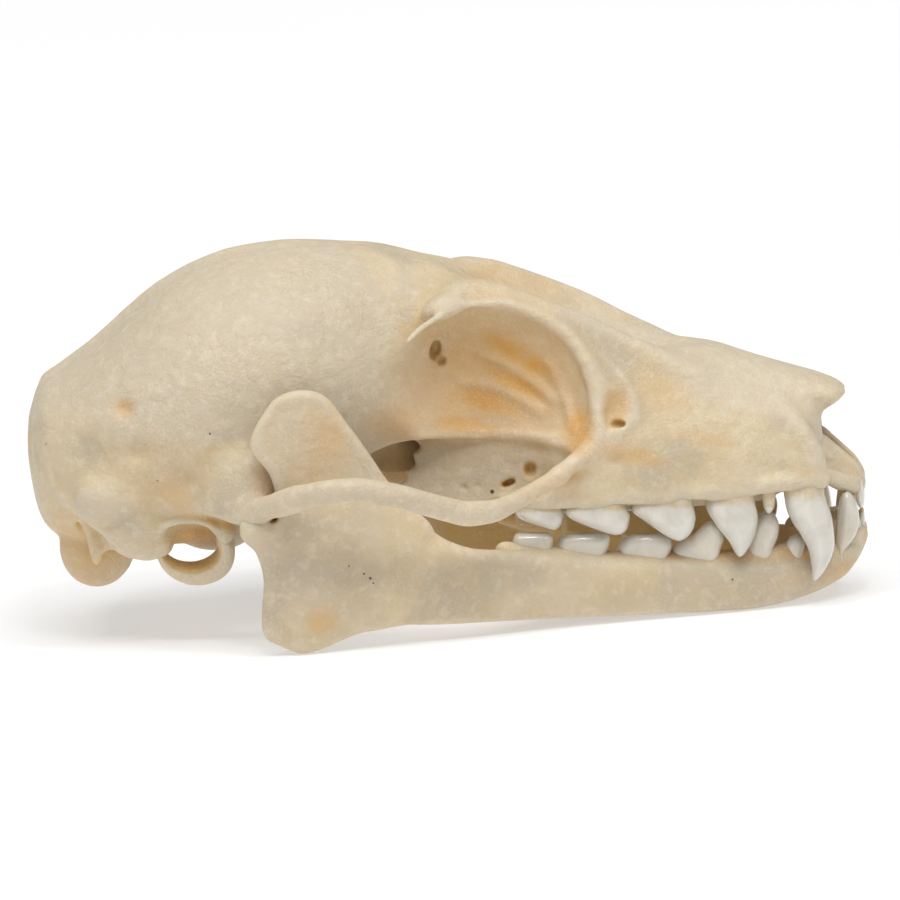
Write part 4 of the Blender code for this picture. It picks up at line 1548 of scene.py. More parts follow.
    muzzle: tuple[Step, ...] = (
        Step("canine's root", Bar((
            (33.9, 2.5, 11.75, 0.3), (34.75, 3.05, 10.8, 0.5), (35.4, 3.2, 9.7, 0.58),
            (35.65, 3.28, 8.7, 0.58),
        )), 0.6),
        Step("flank of that root", Lump((34.9, 3.2, 8.9), (0.95, 0.7, 0.9)), 0.5),
        *(
            Step("cheek tooth's root", Lump((x, y - 0.1, 8.5), (1.0, 0.45, 1.2)), 0.7)
            for x, y in ((23.0, 5.0), (25.6, 5.15), (28.6, 4.8), (31.7, 4.3))
        ),
        Step("outer margin of the sockets", Bar((
            (21.8, 4.9, 7.8, 0.38), (24.1, 5.15, 7.85, 0.4), (27.0, 5.05, 8.05, 0.4),
            (29.5, 4.75, 8.15, 0.4), (32.8, 4.15, 8.32, 0.42), (34.2, 3.85, 8.42, 0.42),
            (35.85, 3.4, 8.45, 0.45),
        )), 0.25),
        Step("inner margin of the sockets", Bar((
            (23.0, 3.9, 7.3, 0.3), (26.0, 3.9, 7.4, 0.35), (30.0, 3.45, 7.6, 0.36), (33.5, 2.9, 7.8, 0.36),
        )), 0.3),
        Step("pit in front of the socket", Lump((26.6, 6.0, 12.3), (0.75, 1.25, 1.35), 15), 0.3, Work.CUT),
        Step("furrow of the cheek", Lump((28.0, 6.1, 10.0), (1.7, 0.8, 0.45), -12), 0.25, Work.CUT),
        Step("deepest part of it", Lump((26.6, 6.1, 9.75), (0.7, 0.8, 0.34)), 0.15, Work.CUT),
        Step("vault of the palate", Lump((29.0, 0.0, 6.7), (9.0, 2.9, 1.6)), 0.3, Work.CUT),
        Step("nose opening", Lump((37.3, 0.0, 10.3), (2.6, 1.35, 1.7)), 0.2, Work.CUT),
    )
    rooms: tuple[Lump, ...] = (
        Lump((9.8, 0.0, 12.0), (9.6, 7.2, 7.0)),
        Lump((28.5, 0.0, 11.8), (9.0, 3.3, 3.2), 12),
    )
    passages: tuple[Step, ...] = (
        Step("front of the nose's room", Lump((36.0, 0.0, 10.6), (3.0, 1.35, 1.2), 6), 0.2, Work.CUT),
        Step("passage for the spine", Lump((2.6, 0.0, 6.4), (4.2, 2.2, 1.9), -35), 0.25, Work.CUT),
        Step("passage to the throat", Lump((15.2, 0.0, 8.0), (4.2, 1.6, 1.15)), 0.3, Work.CUT),
    )
    under_orbit: tuple[Step, ...] = (
        Step("recess under the eye socket", Plate(
            (
                (14.4, 7.1), (14.9, 9.2), (16.0, 10.0), (17.6, 10.4), (20.0, 10.45), (22.5, 10.42),
                (24.2, 10.25), (24.6, 9.6), (23.7, 8.6), (21.6, 7.7), (18.0, 7.2),
            ),
            y=5.2, thickness=2.3, rim=0.25, base=(20.0, 9.0), run=0.1,
        ), 0.15, Work.CUT),
        Step("core behind it", Lump((15.1, 1.0, 10.5), (2.0, 1.7, 1.7)), 0.4),
        Step("ragged opening", Lump((16.6, 2.3, 9.05), (1.3, 0.95, 1.0)), 0.1, Work.CUT),
        Step("floor behind that opening", Lump((16.6, 0.0, 9.3), (3.0, 1.5, 2.2)), 0.3),
        Step("channel of the throat", Lump((15.0, 0.0, 7.9), (4.0, 1.0, 0.9)), 0.3, Work.CUT),
        Step("upright plate with its broken rear edge", Plate(
            (
                (14.6, 7.0), (15.6, 7.45), (16.5, 7.95), (17.1, 8.35), (17.05, 8.75), (17.5, 9.0),
                (17.4, 9.5), (17.75, 9.9), (17.3, 10.4), (19.0, 10.7), (21.5, 10.9), (24.6, 10.8),
                (24.9, 9.0), (24.6, 7.4), (21.0, 7.1), (18.0, 6.95),
            ),
            y=2.95, thickness=0.24, rim=0.25, base=(20.0, 9.0), run=0.15,
        ), 0.06),
        Step("front end of the plate", Lump((24.6, 3.8, 9.75), (1.0, 0.7, 1.1)), 0.8),
        Step("ledge over the plate", Bar((
            (16.6, 3.1, 10.2, 0.12), (17.7, 3.3, 10.5, 0.16), (19.2, 3.3, 10.62, 0.2),
            (21.0, 3.35, 10.6, 0.2), (23.0, 3.85, 10.55, 0.22), (24.3, 4.5, 10.35, 0.22),
        )), 0.3),
    )
    eye_rims: tuple[Step, ...] = (
        Step("edge of the eye socket and its hooked process", Bar((
            (17.12, 6.15, 15.24, 0.12), (17.5, 5.92, 15.62, 0.15), (18.2, 5.42, 16.06, 0.15),
            (19.4, 4.68, 16.58, 0.12), (21.3, 4.05, 16.68, 0.1), (23.2, 3.85, 16.0, 0.1),
            (24.6, 4.02, 14.95, 0.12), (25.3, 4.5, 13.6, 0.15), (25.65, 4.97, 12.2, 0.18),
            (25.85, 5.35, 10.9, 0.27),
        )), 0.45),
        Step("root of the process", Lump((18.75, 4.45, 16.5), (0.9, 0.5, 0.5), -20), 0.4),
        Step("ridge in front of the tear pit", Bar((
            (25.2, 3.7, 14.8, 0.16), (26.3, 4.05, 13.85, 0.17), (27.25, 4.4, 12.7, 0.17),
            (27.45, 4.85, 11.7, 0.19), (26.7, 5.35, 10.95, 0.26),
        )), 0.3),
        Step("front root of the cheek bar", Bar((
            (26.6, 4.7, 10.3, 0.6), (25.6, 5.4, 10.2, 0.46), (24.6, 6.3, 9.68, 0.4), (24.0, 6.8, 9.25, 0.38),
        )), 0.5),
    )
    cheek_bar: tuple[Step, ...] = (Step("cheek bar", Bar(ARCH_LINE, press=(1.0, 1.2, 1.0)), 0.3),)
    small_holes: tuple[Step, ...] = (
        Step("hole in the plate", Lump((22.73, 3.66, 8.95), (0.31, 0.52, 0.35)), 0.03, Work.CUT),
        Step("slit in the plate", Lump((21.75, 3.3, 8.3), (0.38, 0.5, 0.14), -25), 0.04, Work.CUT),
        *(
            Step("vessel hole in the plate", Lump((x, 3.2, z), (r, 0.25, r)), 0.06, Work.CUT)
            for x, z, r in ((19.75, 8.05, 0.16), (20.3, 8.15, 0.1), (19.2, 8.35, 0.1), (18.6, 7.9, 0.1))
        ),
        Step("upper hole in the socket", Lump((18.42, 3.3, 14.4), (0.24, 0.6, 0.5), 8), 0.06, Work.CUT),
        Step("lower hole in the socket", Lump((18.72, 3.3, 13.85), (0.22, 0.6, 0.26)), 0.06, Work.CUT),
        Step("hole of the tear duct", Lump((26.72, 5.1, 11.3), (0.36, 0.36, 0.16)), 0.04, Work.CUT),
    )

    def clay(self) -> Clay:
        """Works the bone's left side.

        Returns:
            The clay.
        """
        clay = Clay(self.low, self.high, self.step)
        clay.work(*self.shell, *self.crests, *self.skull_base, *self.brow, *self.socket)
        clay.work(*self.fan(), *self.muzzle)
        for room in self.rooms:
            clay.hollow(room, self.wall)
        clay.work(*self.passages, *self.under_orbit, *self.eye_rims, *self.cheek_bar, *self.small_holes)
        return clay

    def socket_wall(self, x: float, z: float) -> float:
        """How far from the midline the eye socket's wall lies.

        Args:
            x: the place forward.
            z: its height.

        Returns:
            The distance.
        """
        centre, radii = ORBIT.centre, ORBIT.radii
        rest = 1 - ((x - centre[0]) / radii[0]) ** 2 - ((z - centre[2]) / radii[2]) ** 2
        return centre[1] - radii[1] * math.sqrt(max(rest, 0.0))

    def fan(self) -> list[Step]:
        """The faint struts that fan out over the eye socket's wall.

        Returns:
            A step for each strut.
        """
        steps = []
        for strut in self.struts:
            line = [(x, self.socket_wall(x, z) - self.strut_sunk, z, self.strut_radius) for x, z in strut]
            steps.append(Step("strut on the socket's wall", Bar(line), self.strut_blend))
        return steps

    def pieces(self) -> list[Piece]:
        """The whole cranium as one piece.

        Returns:
            That piece.
        """
        points, faces, marks = self.surface(self.clay(), both_sides=True)
        nodes = ("braincase", "rostrum", "zygomatic_arch_left", "zygomatic_arch_right")
        return [Piece("skull_bone", points, faces, marks, Sheen.BONE, nodes)]


@dataclass
class Premaxilla(Pair):
    """The small bone under the nose opening that carries the upper incisors."""

    name: str = "snout_bone"
    node: str = "premaxilla"
    low: Point = (35.0, 0.02, 7.0)
    high: Point = (38.4, 4.0, 11.6)
    step: float = SMALL_STEP
    triangles: int = 16_000
    roughness: float = 0.01
    # Only a little painted shade on its inner side.
    inner_shade: float = 0.15
    steps: tuple[Step, ...] = (
        Step("rising plate", Plate(
            (
                (35.5, 10.2), (36.05, 10.15), (36.55, 9.75), (37.1, 9.27), (37.58, 8.8), (37.86, 8.27),
                (37.92, 7.85), (37.78, 7.45), (37.2, 7.62), (36.5, 7.95), (35.9, 8.5), (35.5, 9.4),
            ),
            y=1.02, thickness=0.44, rim=0.6, base=(37.0, 9.0), lean=-0.4, run=-0.55,
        ), 0.0),
        Step("lower edge with the tooth sockets", Bar((
            (36.1, 2.5, 8.5, 0.35), (36.9, 1.85, 8.1, 0.38), (37.4, 1.15, 7.95, 0.36),
            (37.45, 0.45, 7.9, 0.36),
        )), 0.4),
    )


@dataclass
class TympanicRing(Pair):
    """The ring that held the ear drum: a short open tube, broad in front, that faces out and down."""

    name: str = "ear_ring"
    node: str = "tympanic_ring"
    low: Point = (5.2, 3.4, 3.2)
    high: Point = (10.2, 8.0, 7.8)
    step: float = SMALL_STEP
    triangles: int = 24_000
    roughness: float = 0.012
    centre: Point = (7.58, 5.6, 5.66)
    radius: float = 1.78
    hole: float = 1.3
    hole_shift: tuple[float, float] = (-0.22, 0.34)
    half_depth: float = 0.6
    flare: float = 0.12
    tilt: float = 27.0
    gap_level: float = 1.15
    edge_round: float = 0.12
    rim_round: float = 0.4
    end_round: float = 0.2
    steps: tuple[Step, ...] = (Step("knob in front", Lump((8.9, 5.95, 6.1), (0.36, 0.4, 0.32)), 0.3),)
    # How the shade painted inside the ring is laid: its band, how fast it fades in, and its strongest.
    dark_band: float = 0.16
    dark_fade: float = 8.0
    darkest: float = 0.75

    def spread(self, x: np.ndarray, y: np.ndarray, z: np.ndarray) -> ThreeArrays:
        """How far places lie from the ring's middle.

        Args:
            x: places forward.
            y: places outward.
            z: places upward.

        Returns:
            The distances forward, outward along the ring's axis, and up across it.
        """
        c, s = math.cos(math.radians(self.tilt)), math.sin(math.radians(self.tilt))
        dx, dy, dz = x - self.centre[0], y - self.centre[1], z - self.centre[2]
        return dx, dy * c - dz * s, dy * s + dz * c

    def distance(self, x: np.ndarray, y: np.ndarray, z: np.ndarray) -> np.ndarray:
        """Signed distances to the ring, which is open at the top.

        Args:
            x: the grid's places forward.
            y: its places outward.
            z: its places upward.

        Returns:
            The distance at each place of the grid.
        """
        along, out, up = self.spread(x, y, z)
        shell = np.sqrt(along**2 + up**2) - self.radius
        hole = self.hole - np.sqrt((along - self.hole_shift[0]) ** 2 + (up - self.hole_shift[1]) ** 2)
        slab = np.abs(out) - self.half_depth * (1 + self.flare * along)
        band = -soft_min(-shell, -hole, self.edge_round)
        band = -soft_min(-band, -slab, self.rim_round)
        return -soft_min(-band, self.gap_level - up, self.end_round)

    def reach(self) -> Arrays:
        """The corners of the box that holds it."""
        far = self.radius + self.half_depth
        return np.array(self.centre) - far, np.array(self.centre) + far

    def clay(self) -> Clay:
        """The left ring as clay."""
        return Clay(self.low, self.high, self.step).work(Step("ring", self, 0.0), *self.steps)

    def darkened(self, points: np.ndarray, marks: Marks) -> Marks:
        """Paints shade on the inside of the ring.

        Args:
            points: the vertices.
            marks: their marks.

        Returns:
            The same marks.
        """
        along, _, up = self.spread(*points.T)
        inner = self.hole + self.dark_band - np.hypot(along - self.hole_shift[0], up - self.hole_shift[1])
        marks.hollow = np.maximum(marks.hollow, np.clip(inner * self.dark_fade, 0, self.darkest))
        return marks


@dataclass
class Mandible(Pair):
    """Half of the lower jaw: its body, its corner and the tall blade for the temple muscle."""

    name: str = "jaw_bone"
    node: str = "mandible"
    low: Point = (9.2, 0.04, 0.8)
    high: Point = (38.4, 10.8, 14.0)
    step: float = JAW_STEP
    triangles: int = 90_000
    patches: tuple[Patch, ...] = (
        Patch((13.3, 8.9, 2.9), (0.7, 1.0, 0.5), 0.35),
        Patch((13.4, 8.6, 11.0), (1.0, 1.0, 1.7), 0.35, 20),
        Patch((36.8, 1.8, 4.0), (1.3, 1.2, 0.5), 0.3, -15),
        Patch((34.4, 2.6, 3.8), (1.2, 1.2, 0.3), 0.2, -5),
        Patch((28.5, 3.6, 5.2), (6.5, 0.9, 0.3), 0.55, 3),
        # Golden brown between the front teeth: painted shade of the mouth's inside.
        Patch((34.8, 2.4, 5.0), (1.6, 0.9, 0.3), 0.7),
    )
    # Lifts the painted shade between the front teeth.
    pales: tuple[Patch, ...] = (Patch((34.8, 1.9, 5.2), (1.9, 1.8, 1.2)),)
    # Painted full shade in the slot under the condyle.
    shade_spots: tuple[Patch, ...] = (Patch((11.15, 8.8, 7.64), (0.3, 0.5, 0.14)),)
    veils: tuple[Patch, ...] = (
        # The grey over the ramus is partly the bone's own grey and partly painted shade under the cheek bar
        # and in the bed of the chewing muscle.
        Patch((12.0, 8.9, 5.2), (1.8, 1.5, 1.4), 0.9, 10),
        Patch((11.0, 8.9, 4.6), (0.8, 1.5, 1.9), 1.3, 5),
        Patch((14.8, 8.6, 5.0), (1.6, 1.5, 0.9), 0.7),
        Patch((15.4, 8.4, 4.85), (0.35, 1.0, 0.25), 1.0),
        Patch((14.0, 8.6, 7.2), (2.4, 1.0, 1.0), 0.4),
        Patch((20.5, 7.2, 3.6), (3.0, 1.0, 0.6), 0.35),
        Patch((31.0, 4.2, 3.5), (3.0, 1.0, 0.5), 0.4),
        Patch((33.0, 3.4, 4.2), (5.5, 1.5, 1.9), 0.85),
        # Broad grey over the ramus: partly its own grey, partly painted shade under the cheek bar.
        Patch((13.0, 8.8, 6.0), (3.5, 1.5, 3.0), 0.5),
        Patch((23.0, 6.0, 4.0), (6.0, 1.5, 1.5), 0.3),
    )
    steps: tuple[Step, ...] = (
        Step("body", Strip((
        (12.2, 8.75, 7.3, 2.0, 0.22),
        (13.2, 8.55, 7.5, 1.9, 0.26),
        (14.2, 8.3, 7.6, 2.2, 0.3),
        (15.2, 8.0, 7.7, 2.46, 0.36),
        (16.5, 7.7, 7.8, 2.56, 0.46),
        (17.4, 7.5, 7.6, 2.53, 0.5),
        (18.2, 7.25, 6.85, 2.49, 0.58),
        (19.0, 7.0, 6.3, 2.47, 0.68),
        (20.0, 6.65, 5.9, 2.46, 0.76),
        (21.5, 6.1, 5.7, 2.45, 0.8),
        (24.0, 5.2, 5.42, 2.43, 0.86),
        (26.5, 4.5, 5.15, 2.41, 0.87),
        (29.0, 3.95, 5.0, 2.43, 0.87),
        (31.5, 3.4, 4.92, 2.45, 0.87),
        (33.2, 2.9, 4.88, 2.52, 0.92),
        (35.0, 2.2, 4.75, 2.85, 1.0),
        (36.5, 1.5, 5.15, 3.42, 1.0),
        (37.3, 1.0, 5.75, 3.98, 0.88),
        (38.08, 0.65, 6.0, 5.0, 0.6),
        )), 0.0),
        Step("blade for the temple muscle", Plate(
            (
                (11.2, 8.6), (10.9, 9.7), (10.18, 10.62), (10.09, 11.36), (10.68, 12.47), (11.27, 13.15),
                (12.14, 13.45), (13.0, 13.35), (13.73, 12.88), (14.41, 11.92), (15.18, 10.86), (16.27, 9.2),
                (17.36, 7.88), (18.23, 6.9), (17.0, 5.6), (14.5, 5.0), (12.0, 5.6), (11.3, 6.8),
            ),
            y=8.35, thickness=0.3, rim=0.4, base=(13.0, 9.5), lean=-0.03, run=-0.19, lip=0.12, lip_from=8.8,
        ), 0.5),
        Step("rear corner", Plate(
            (
                (9.62, 7.0), (9.84, 6.65), (10.25, 6.19), (10.52, 5.49), (10.66, 4.76), (10.6, 3.61),
                (10.6, 2.55), (11.0, 1.95), (12.32, 1.55), (13.45, 1.88), (14.77, 2.46), (16.5, 2.85),
                (17.6, 4.2), (17.5, 6.2), (16.4, 7.9), (14.4, 8.3), (12.2, 8.35), (10.9, 8.0), (9.7, 7.65),
            ),
            y=8.85, thickness=0.3, rim=0.6, base=(11.0, 5.0), run=-0.17,
        ), 0.8),
        Step("condyle", Lump((10.35, 8.45, 6.95), (0.65, 0.8, 0.5)), 0.5),
        Step("margin of the tooth sockets", Bar((
            (21.6, 4.9, 5.4, 0.5), (24.0, 4.55, 5.0, 0.55), (26.5, 4.1, 4.75, 0.55), (29.0, 3.7, 4.65, 0.55),
            (31.5, 3.2, 4.65, 0.55), (33.2, 2.75, 4.78, 0.55), (35.5, 2.05, 4.85, 0.5),
            (36.9, 1.7, 4.85, 0.42),
        )), 0.35),
        Step("joint of the chin", Lump((35.3, 0.7, 4.1), (1.9, 1.45, 0.85)), 0.4),
        Step("front of the chin", Lump((36.6, 0.5, 5.5), (0.75, 0.95, 1.05)), 0.3),
        Step("bed of the chewing muscle", Lump((14.0, 9.82, 5.0), (2.7, 1.2, 2.2)), 0.8, Work.CUT),
        Step("slot under the condyle", Lump((11.15, 8.9, 7.64), (0.26, 0.9, 0.11), -25), 0.05, Work.CUT),
    )


@dataclass(frozen=True)
class Tooth:
    """One tooth: its side outline, where it stands across the skull and how it swells.

    The groove is how deep its chewing surface is hollowed, and the ridge is the radius of a rib on its outer
    side. The last fields give both as shares of the tooth's length and half width, and the block round it.
    """

    name: str
    outline: tuple[tuple[float, float], ...]
    y: float
    half_width: float
    rim: float
    neck: float
    tip: float
    lean: float = 0.0
    groove: float = 0.0
    ridge: float = 0.0
    groove_length: float = 0.72
    groove_width: float = 0.42
    groove_lift: float = 0.35
    rib_foot: float = 0.82
    rib_head: float = 0.6
    rib_slant: float = 0.1
    spare: float = 0.3

    def plate(self) -> Plate:
        """The swelled outline of the crown and the root."""
        base = (self.outline[0][0], self.neck)
        return Plate(self.outline, self.y, self.half_width, self.rim, base=base, lean=self.lean)

    def steps(self) -> list[Step]:
        """What the tooth is made of.

        Returns:
            Its steps.
        """
        steps = [Step(self.name, self.plate(), 0.0)]
        xs = [x for x, _ in self.outline]
        middle, reach = (min(xs) + max(xs)) / 2, (max(xs) - min(xs)) / 2
        if self.groove:
            lie = self.tip + math.copysign(self.groove_lift, self.tip - self.neck) * self.groove
            radii = (reach * self.groove_length, self.half_width * self.groove_width, self.groove)
            bowl = Lump((middle, self.y, lie), radii)
            steps.append(Step("groove", bowl, 0.12, Work.CUT))
        if self.ridge:
            foot_y, head_y = (self.y + self.half_width * part for part in (self.rib_foot, self.rib_head))
            foot = (middle - self.rib_slant, foot_y, self.neck, self.ridge)
            head = (middle + self.rib_slant, head_y, (self.neck + self.tip) / 2, self.ridge)
            steps.append(Step("rib", Bar((foot, head)), 0.3))
        return steps

    def clay(self) -> Clay:
        """The tooth as clay."""
        low, high = self.plate().reach()
        return Clay(tuple(low - self.spare), tuple(high + self.spare), TOOTH_STEP).work(*self.steps())


UPPER_TEETH = (
    Tooth(
        "canine",
        (
            (34.23, 9.2), (34.27, 7.47), (34.55, 6.59), (34.95, 5.99), (35.32, 5.3), (35.48, 4.51),
            (35.57, 3.85), (36.05, 4.28), (36.45, 5.07), (36.53, 5.76), (36.41, 6.73), (36.14, 7.56),
            (35.7, 9.2),
        ),
        y=3.25, half_width=0.72, rim=0.85, neck=7.9, tip=3.9, lean=-0.11, ridge=0.12,
    ),
    Tooth(
        "first_premolar",
        (
            (33.3, 8.6), (33.22, 7.76), (33.32, 7.2), (33.52, 6.95), (33.75, 7.15), (33.85, 7.7),
            (33.75, 8.6),
        ),
        y=3.7, half_width=0.3, rim=0.26, neck=7.3, tip=6.9,
    ),
    Tooth(
        "third_premolar",
        (
            (30.95, 8.9), (30.73, 7.83), (30.68, 7.27), (31.09, 6.54), (31.68, 5.8), (32.18, 5.04),
            (32.64, 5.47), (32.95, 6.21), (33.05, 6.86), (32.91, 7.46), (32.6, 8.9),
        ),
        y=3.92, half_width=0.7, rim=0.8, neck=7.7, tip=5.05, lean=-0.1,
    ),
    Tooth(
        "fourth_premolar",
        (
            (27.7, 8.7), (27.32, 7.62), (27.32, 7.18), (27.77, 6.84), (28.5, 6.31), (29.23, 5.89),
            (29.59, 5.87), (30.0, 6.19), (30.2, 6.7), (30.14, 7.35), (29.7, 8.7),
        ),
        y=4.33, half_width=0.78, rim=0.62, neck=7.55, tip=5.9, lean=-0.1, groove=0.22,
    ),
    Tooth(
        "first_molar",
        (
            (24.8, 8.5), (24.32, 7.47), (24.32, 7.12), (24.68, 6.83), (25.59, 6.44), (26.55, 6.16),
            (27.03, 6.32), (27.24, 6.83), (27.09, 7.43), (26.6, 8.5),
        ),
        y=4.6, half_width=0.78, rim=0.5, neck=7.45, tip=6.2, lean=-0.08, groove=0.2,
    ),
    Tooth(
        "second_molar",
        (
            (22.5, 8.4), (22.07, 7.42), (22.09, 7.05), (22.41, 6.82), (23.0, 6.61), (23.73, 6.38),
            (24.09, 6.56), (24.23, 6.96), (24.14, 7.46), (23.7, 8.4),
        ),
        y=4.62, half_width=0.66, rim=0.42, neck=7.35, tip=6.4, lean=-0.08, groove=0.16,
    ),
    Tooth(
        "outer_incisor",
        (
            (37.45, 8.2), (37.48, 7.5), (37.58, 7.0), (37.7, 6.78), (37.84, 6.85), (37.88, 7.3), (37.8, 8.2),
        ),
        y=1.3, half_width=0.22, rim=0.2, neck=7.9, tip=6.8,
    ),
    Tooth(
        "inner_incisor",
        (
            (37.5, 8.2), (37.55, 7.5), (37.64, 7.0), (37.76, 6.7), (37.9, 6.8), (37.93, 7.3), (37.85, 8.2),
        ),
        y=0.55, half_width=0.22, rim=0.2, neck=7.8, tip=6.7,
    ),
)
LOWER_TEETH = (
    Tooth(
        "inner_incisor",
        (
            (37.55, 4.8), (37.55, 5.6), (37.62, 6.15), (37.76, 6.5), (37.9, 6.5), (37.95, 6.1), (37.92, 5.6),
            (37.85, 4.9),
        ),
        y=0.5, half_width=0.2, rim=0.18, neck=5.3, tip=6.5,
    ),
    Tooth(
        "outer_incisor",
        (
            (37.35, 4.7), (37.35, 5.5), (37.42, 6.0), (37.55, 6.3), (37.7, 6.3), (37.76, 5.9), (37.72, 5.4),
            (37.65, 4.8),
        ),
        y=1.05, half_width=0.2, rim=0.18, neck=5.2, tip=6.3,
    ),
    Tooth(
        "canine",
        (
            (36.72, 4.4), (36.6, 5.06), (36.62, 5.89), (36.7, 6.81), (36.8, 7.4), (37.03, 7.68),
            (37.25, 7.62), (37.5, 7.28), (37.66, 6.58), (37.6, 5.89), (37.32, 5.34), (37.05, 4.95),
            (37.0, 4.4),
        ),
        y=1.95, half_width=0.48, rim=0.42, neck=4.9, tip=7.6, lean=0.04,
    ),
    Tooth(
        "first_premolar",
        (
            (34.5, 4.2), (34.34, 5.08), (34.36, 5.45), (34.59, 5.73), (34.95, 5.78), (35.2, 5.45),
            (35.18, 5.08), (35.0, 4.2),
        ),
        y=2.5, half_width=0.38, rim=0.36, neck=4.7, tip=5.8,
    ),
    Tooth(
        "third_premolar",
        (
            (32.73, 4.2), (32.55, 5.16), (32.64, 6.03), (33.0, 6.72), (33.36, 7.0), (33.73, 6.89),
            (34.0, 6.4), (34.0, 5.85), (33.77, 5.25), (33.5, 4.2),
        ),
        y=2.95, half_width=0.46, rim=0.5, neck=4.8, tip=7.0,
    ),
    Tooth(
        "fourth_premolar",
        (
            (29.64, 4.1), (29.2, 4.97), (29.14, 5.34), (29.45, 5.66), (30.14, 5.98), (30.55, 6.4),
            (30.95, 6.61), (31.36, 6.4), (31.55, 5.84), (31.41, 5.38), (30.91, 4.1),
        ),
        y=3.55, half_width=0.52, rim=0.5, neck=4.8, tip=6.6,
    ),
    Tooth(
        "first_molar",
        (
            (27.0, 4.1), (26.68, 5.16), (26.64, 5.48), (26.91, 5.85), (27.55, 6.1), (28.55, 6.13),
            (29.0, 5.92), (29.16, 5.55), (29.05, 5.16), (28.64, 4.1),
        ),
        y=3.85, half_width=0.55, rim=0.42, neck=4.8, tip=6.1, groove=0.2,
    ),
    Tooth(
        "second_molar",
        (
            (24.32, 4.4), (24.0, 5.32), (23.95, 5.74), (24.23, 6.11), (25.09, 6.24), (26.0, 6.22),
            (26.32, 6.06), (26.32, 5.64), (26.09, 5.04), (25.91, 4.4),
        ),
        y=4.3, half_width=0.55, rim=0.42, neck=5.0, tip=6.2, groove=0.2,
    ),
    Tooth(
        "third_molar",
        (
            (22.18, 4.9), (21.95, 5.65), (21.98, 6.07), (22.23, 6.25), (22.91, 6.3), (23.55, 6.25),
            (23.77, 6.02), (23.75, 5.7), (23.55, 4.9),
        ),
        y=4.6, half_width=0.48, rim=0.36, neck=5.3, tip=6.3, groove=0.16,
    ),
)


@dataclass
class ToothRow:
    """All teeth of one row on the left side, and their mirror images."""

    name: str
    teeth: tuple[Tooth, ...]
    yellowed: float = 0.0
    neck_band: float = 0.1
    inner_side: float = 0.5

    def tooth(self, tooth: Tooth) -> tuple[np.ndarray, np.ndarray, Marks]:
        """Skins one tooth.

        Args:
            tooth: the tooth.

        Returns:
            Its vertices, its faces and its marks, which tell the tip, the neck and the inner side.
        """
        points, faces = tooth.clay().soften().skin(both_sides=False)
        share = (points[:, 2] - tooth.neck) / (tooth.tip - tooth.neck)
        neck = np.clip(1 - share / self.neck_band, 0, 1)
        # The inner side is painted golden brown: partly stain, partly painted shade.
        within = tooth.plate().middle(points[:, 0], points[:, 2]) - points[:, 1]
        inner = np.clip(within / (self.inner_side * tooth.half_width), self.yellowed, 1)
        return points, faces, Marks(np.clip(share, 0, 1), neck, inner, np.zeros(len(points)))

    def pieces(self) -> list[Piece]:
        """The left teeth as one piece, and the right ones.

        Returns:
            Both pieces.
        """
        points, faces, marks = [], [], []
        count = 0
        for tooth in self.teeth:
            p, f, m = self.tooth(tooth)
            points.append(p)
            faces.append(f + count)
            marks.append(m)
            count += len(p)
        joined = Marks(*(np.concatenate([getattr(m, k) for m in marks]) for k in MARKS))
        left = Piece(f"{self.name}_left", np.concatenate(points), np.concatenate(faces), joined, Sheen.ENAMEL)
        return [left, left.mirrored(f"{self.name}_right", ())]


@dataclass
class Stand:
    """Sets the pieces down as the solids are: nose down on the jaw, in the middle of the solids' box."""

    low: Vector
    high: Vector
    pitch: float = REST_PITCH
    shift: Vector = field(default_factory=Vector)

    def turned(self, points: np.ndarray) -> np.ndarray:
        """Turns points of the skull's frame as the skull lies.

        Args:
            points: the points in millimetres.

        Returns:
            The turned points in metres.
        """
        c, s = math.cos(self.pitch), math.sin(self.pitch)
        x, y, z = points.T
        return np.stack([x * c + z * s, y, z * c - x * s], axis=1) * MM

    def settle(self, pieces: Sequence[Piece]) -> None:
        """Finds the shift that brings the turned pieces to the floor and to the box's middle.

        Args:
            pieces: all pieces of the skull.
        """
        points = np.concatenate([self.turned(piece.points) for piece in pieces])
        low, high = points.min(axis=0), points.max(axis=0)
        middle = (self.low + self.high) / 2
        self.shift = Vector((middle.x - (low[0] + high[0]) / 2, 0, self.low.z - low[2] + BOX_MARGIN * MM))
        log.info("set down by %s, visual size %s", self.shift, high - low)

    def place(self, point: Sequence[float]) -> Vector:
        """A point of the skull's frame in metres, in the row frame."""
        return Vector(self.turned(np.array([point], float))[0]) + self.shift

    def put(self, piece: Piece, material: bpy.types.Material) -> bpy.types.Object:
        """Makes the object of a piece, dressed and riding on the skull's one body.

        Args:
            piece: the piece.
            material: its finish.

        Returns:
            The object.
        """
        mesh = mesh_of(piece.name, self.turned(piece.points) + np.array(self.shift), piece.faces)
        layer = mesh.color_attributes.new("marks", "FLOAT_COLOR", "POINT")
        colours = np.stack([getattr(piece.marks, mark) for mark in MARKS], axis=1).astype(np.float32)
        layer.data.foreach_set("color", colours.ravel())
        mesh.shade_smooth()
        mesh.materials.append(material)
        obj = bpy.data.objects.new(piece.name, mesh)
        bpy.context.scene.collection.objects.link(obj)
        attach(obj, "root")
        if piece.nodes:
            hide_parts(*piece.nodes)
        return obj


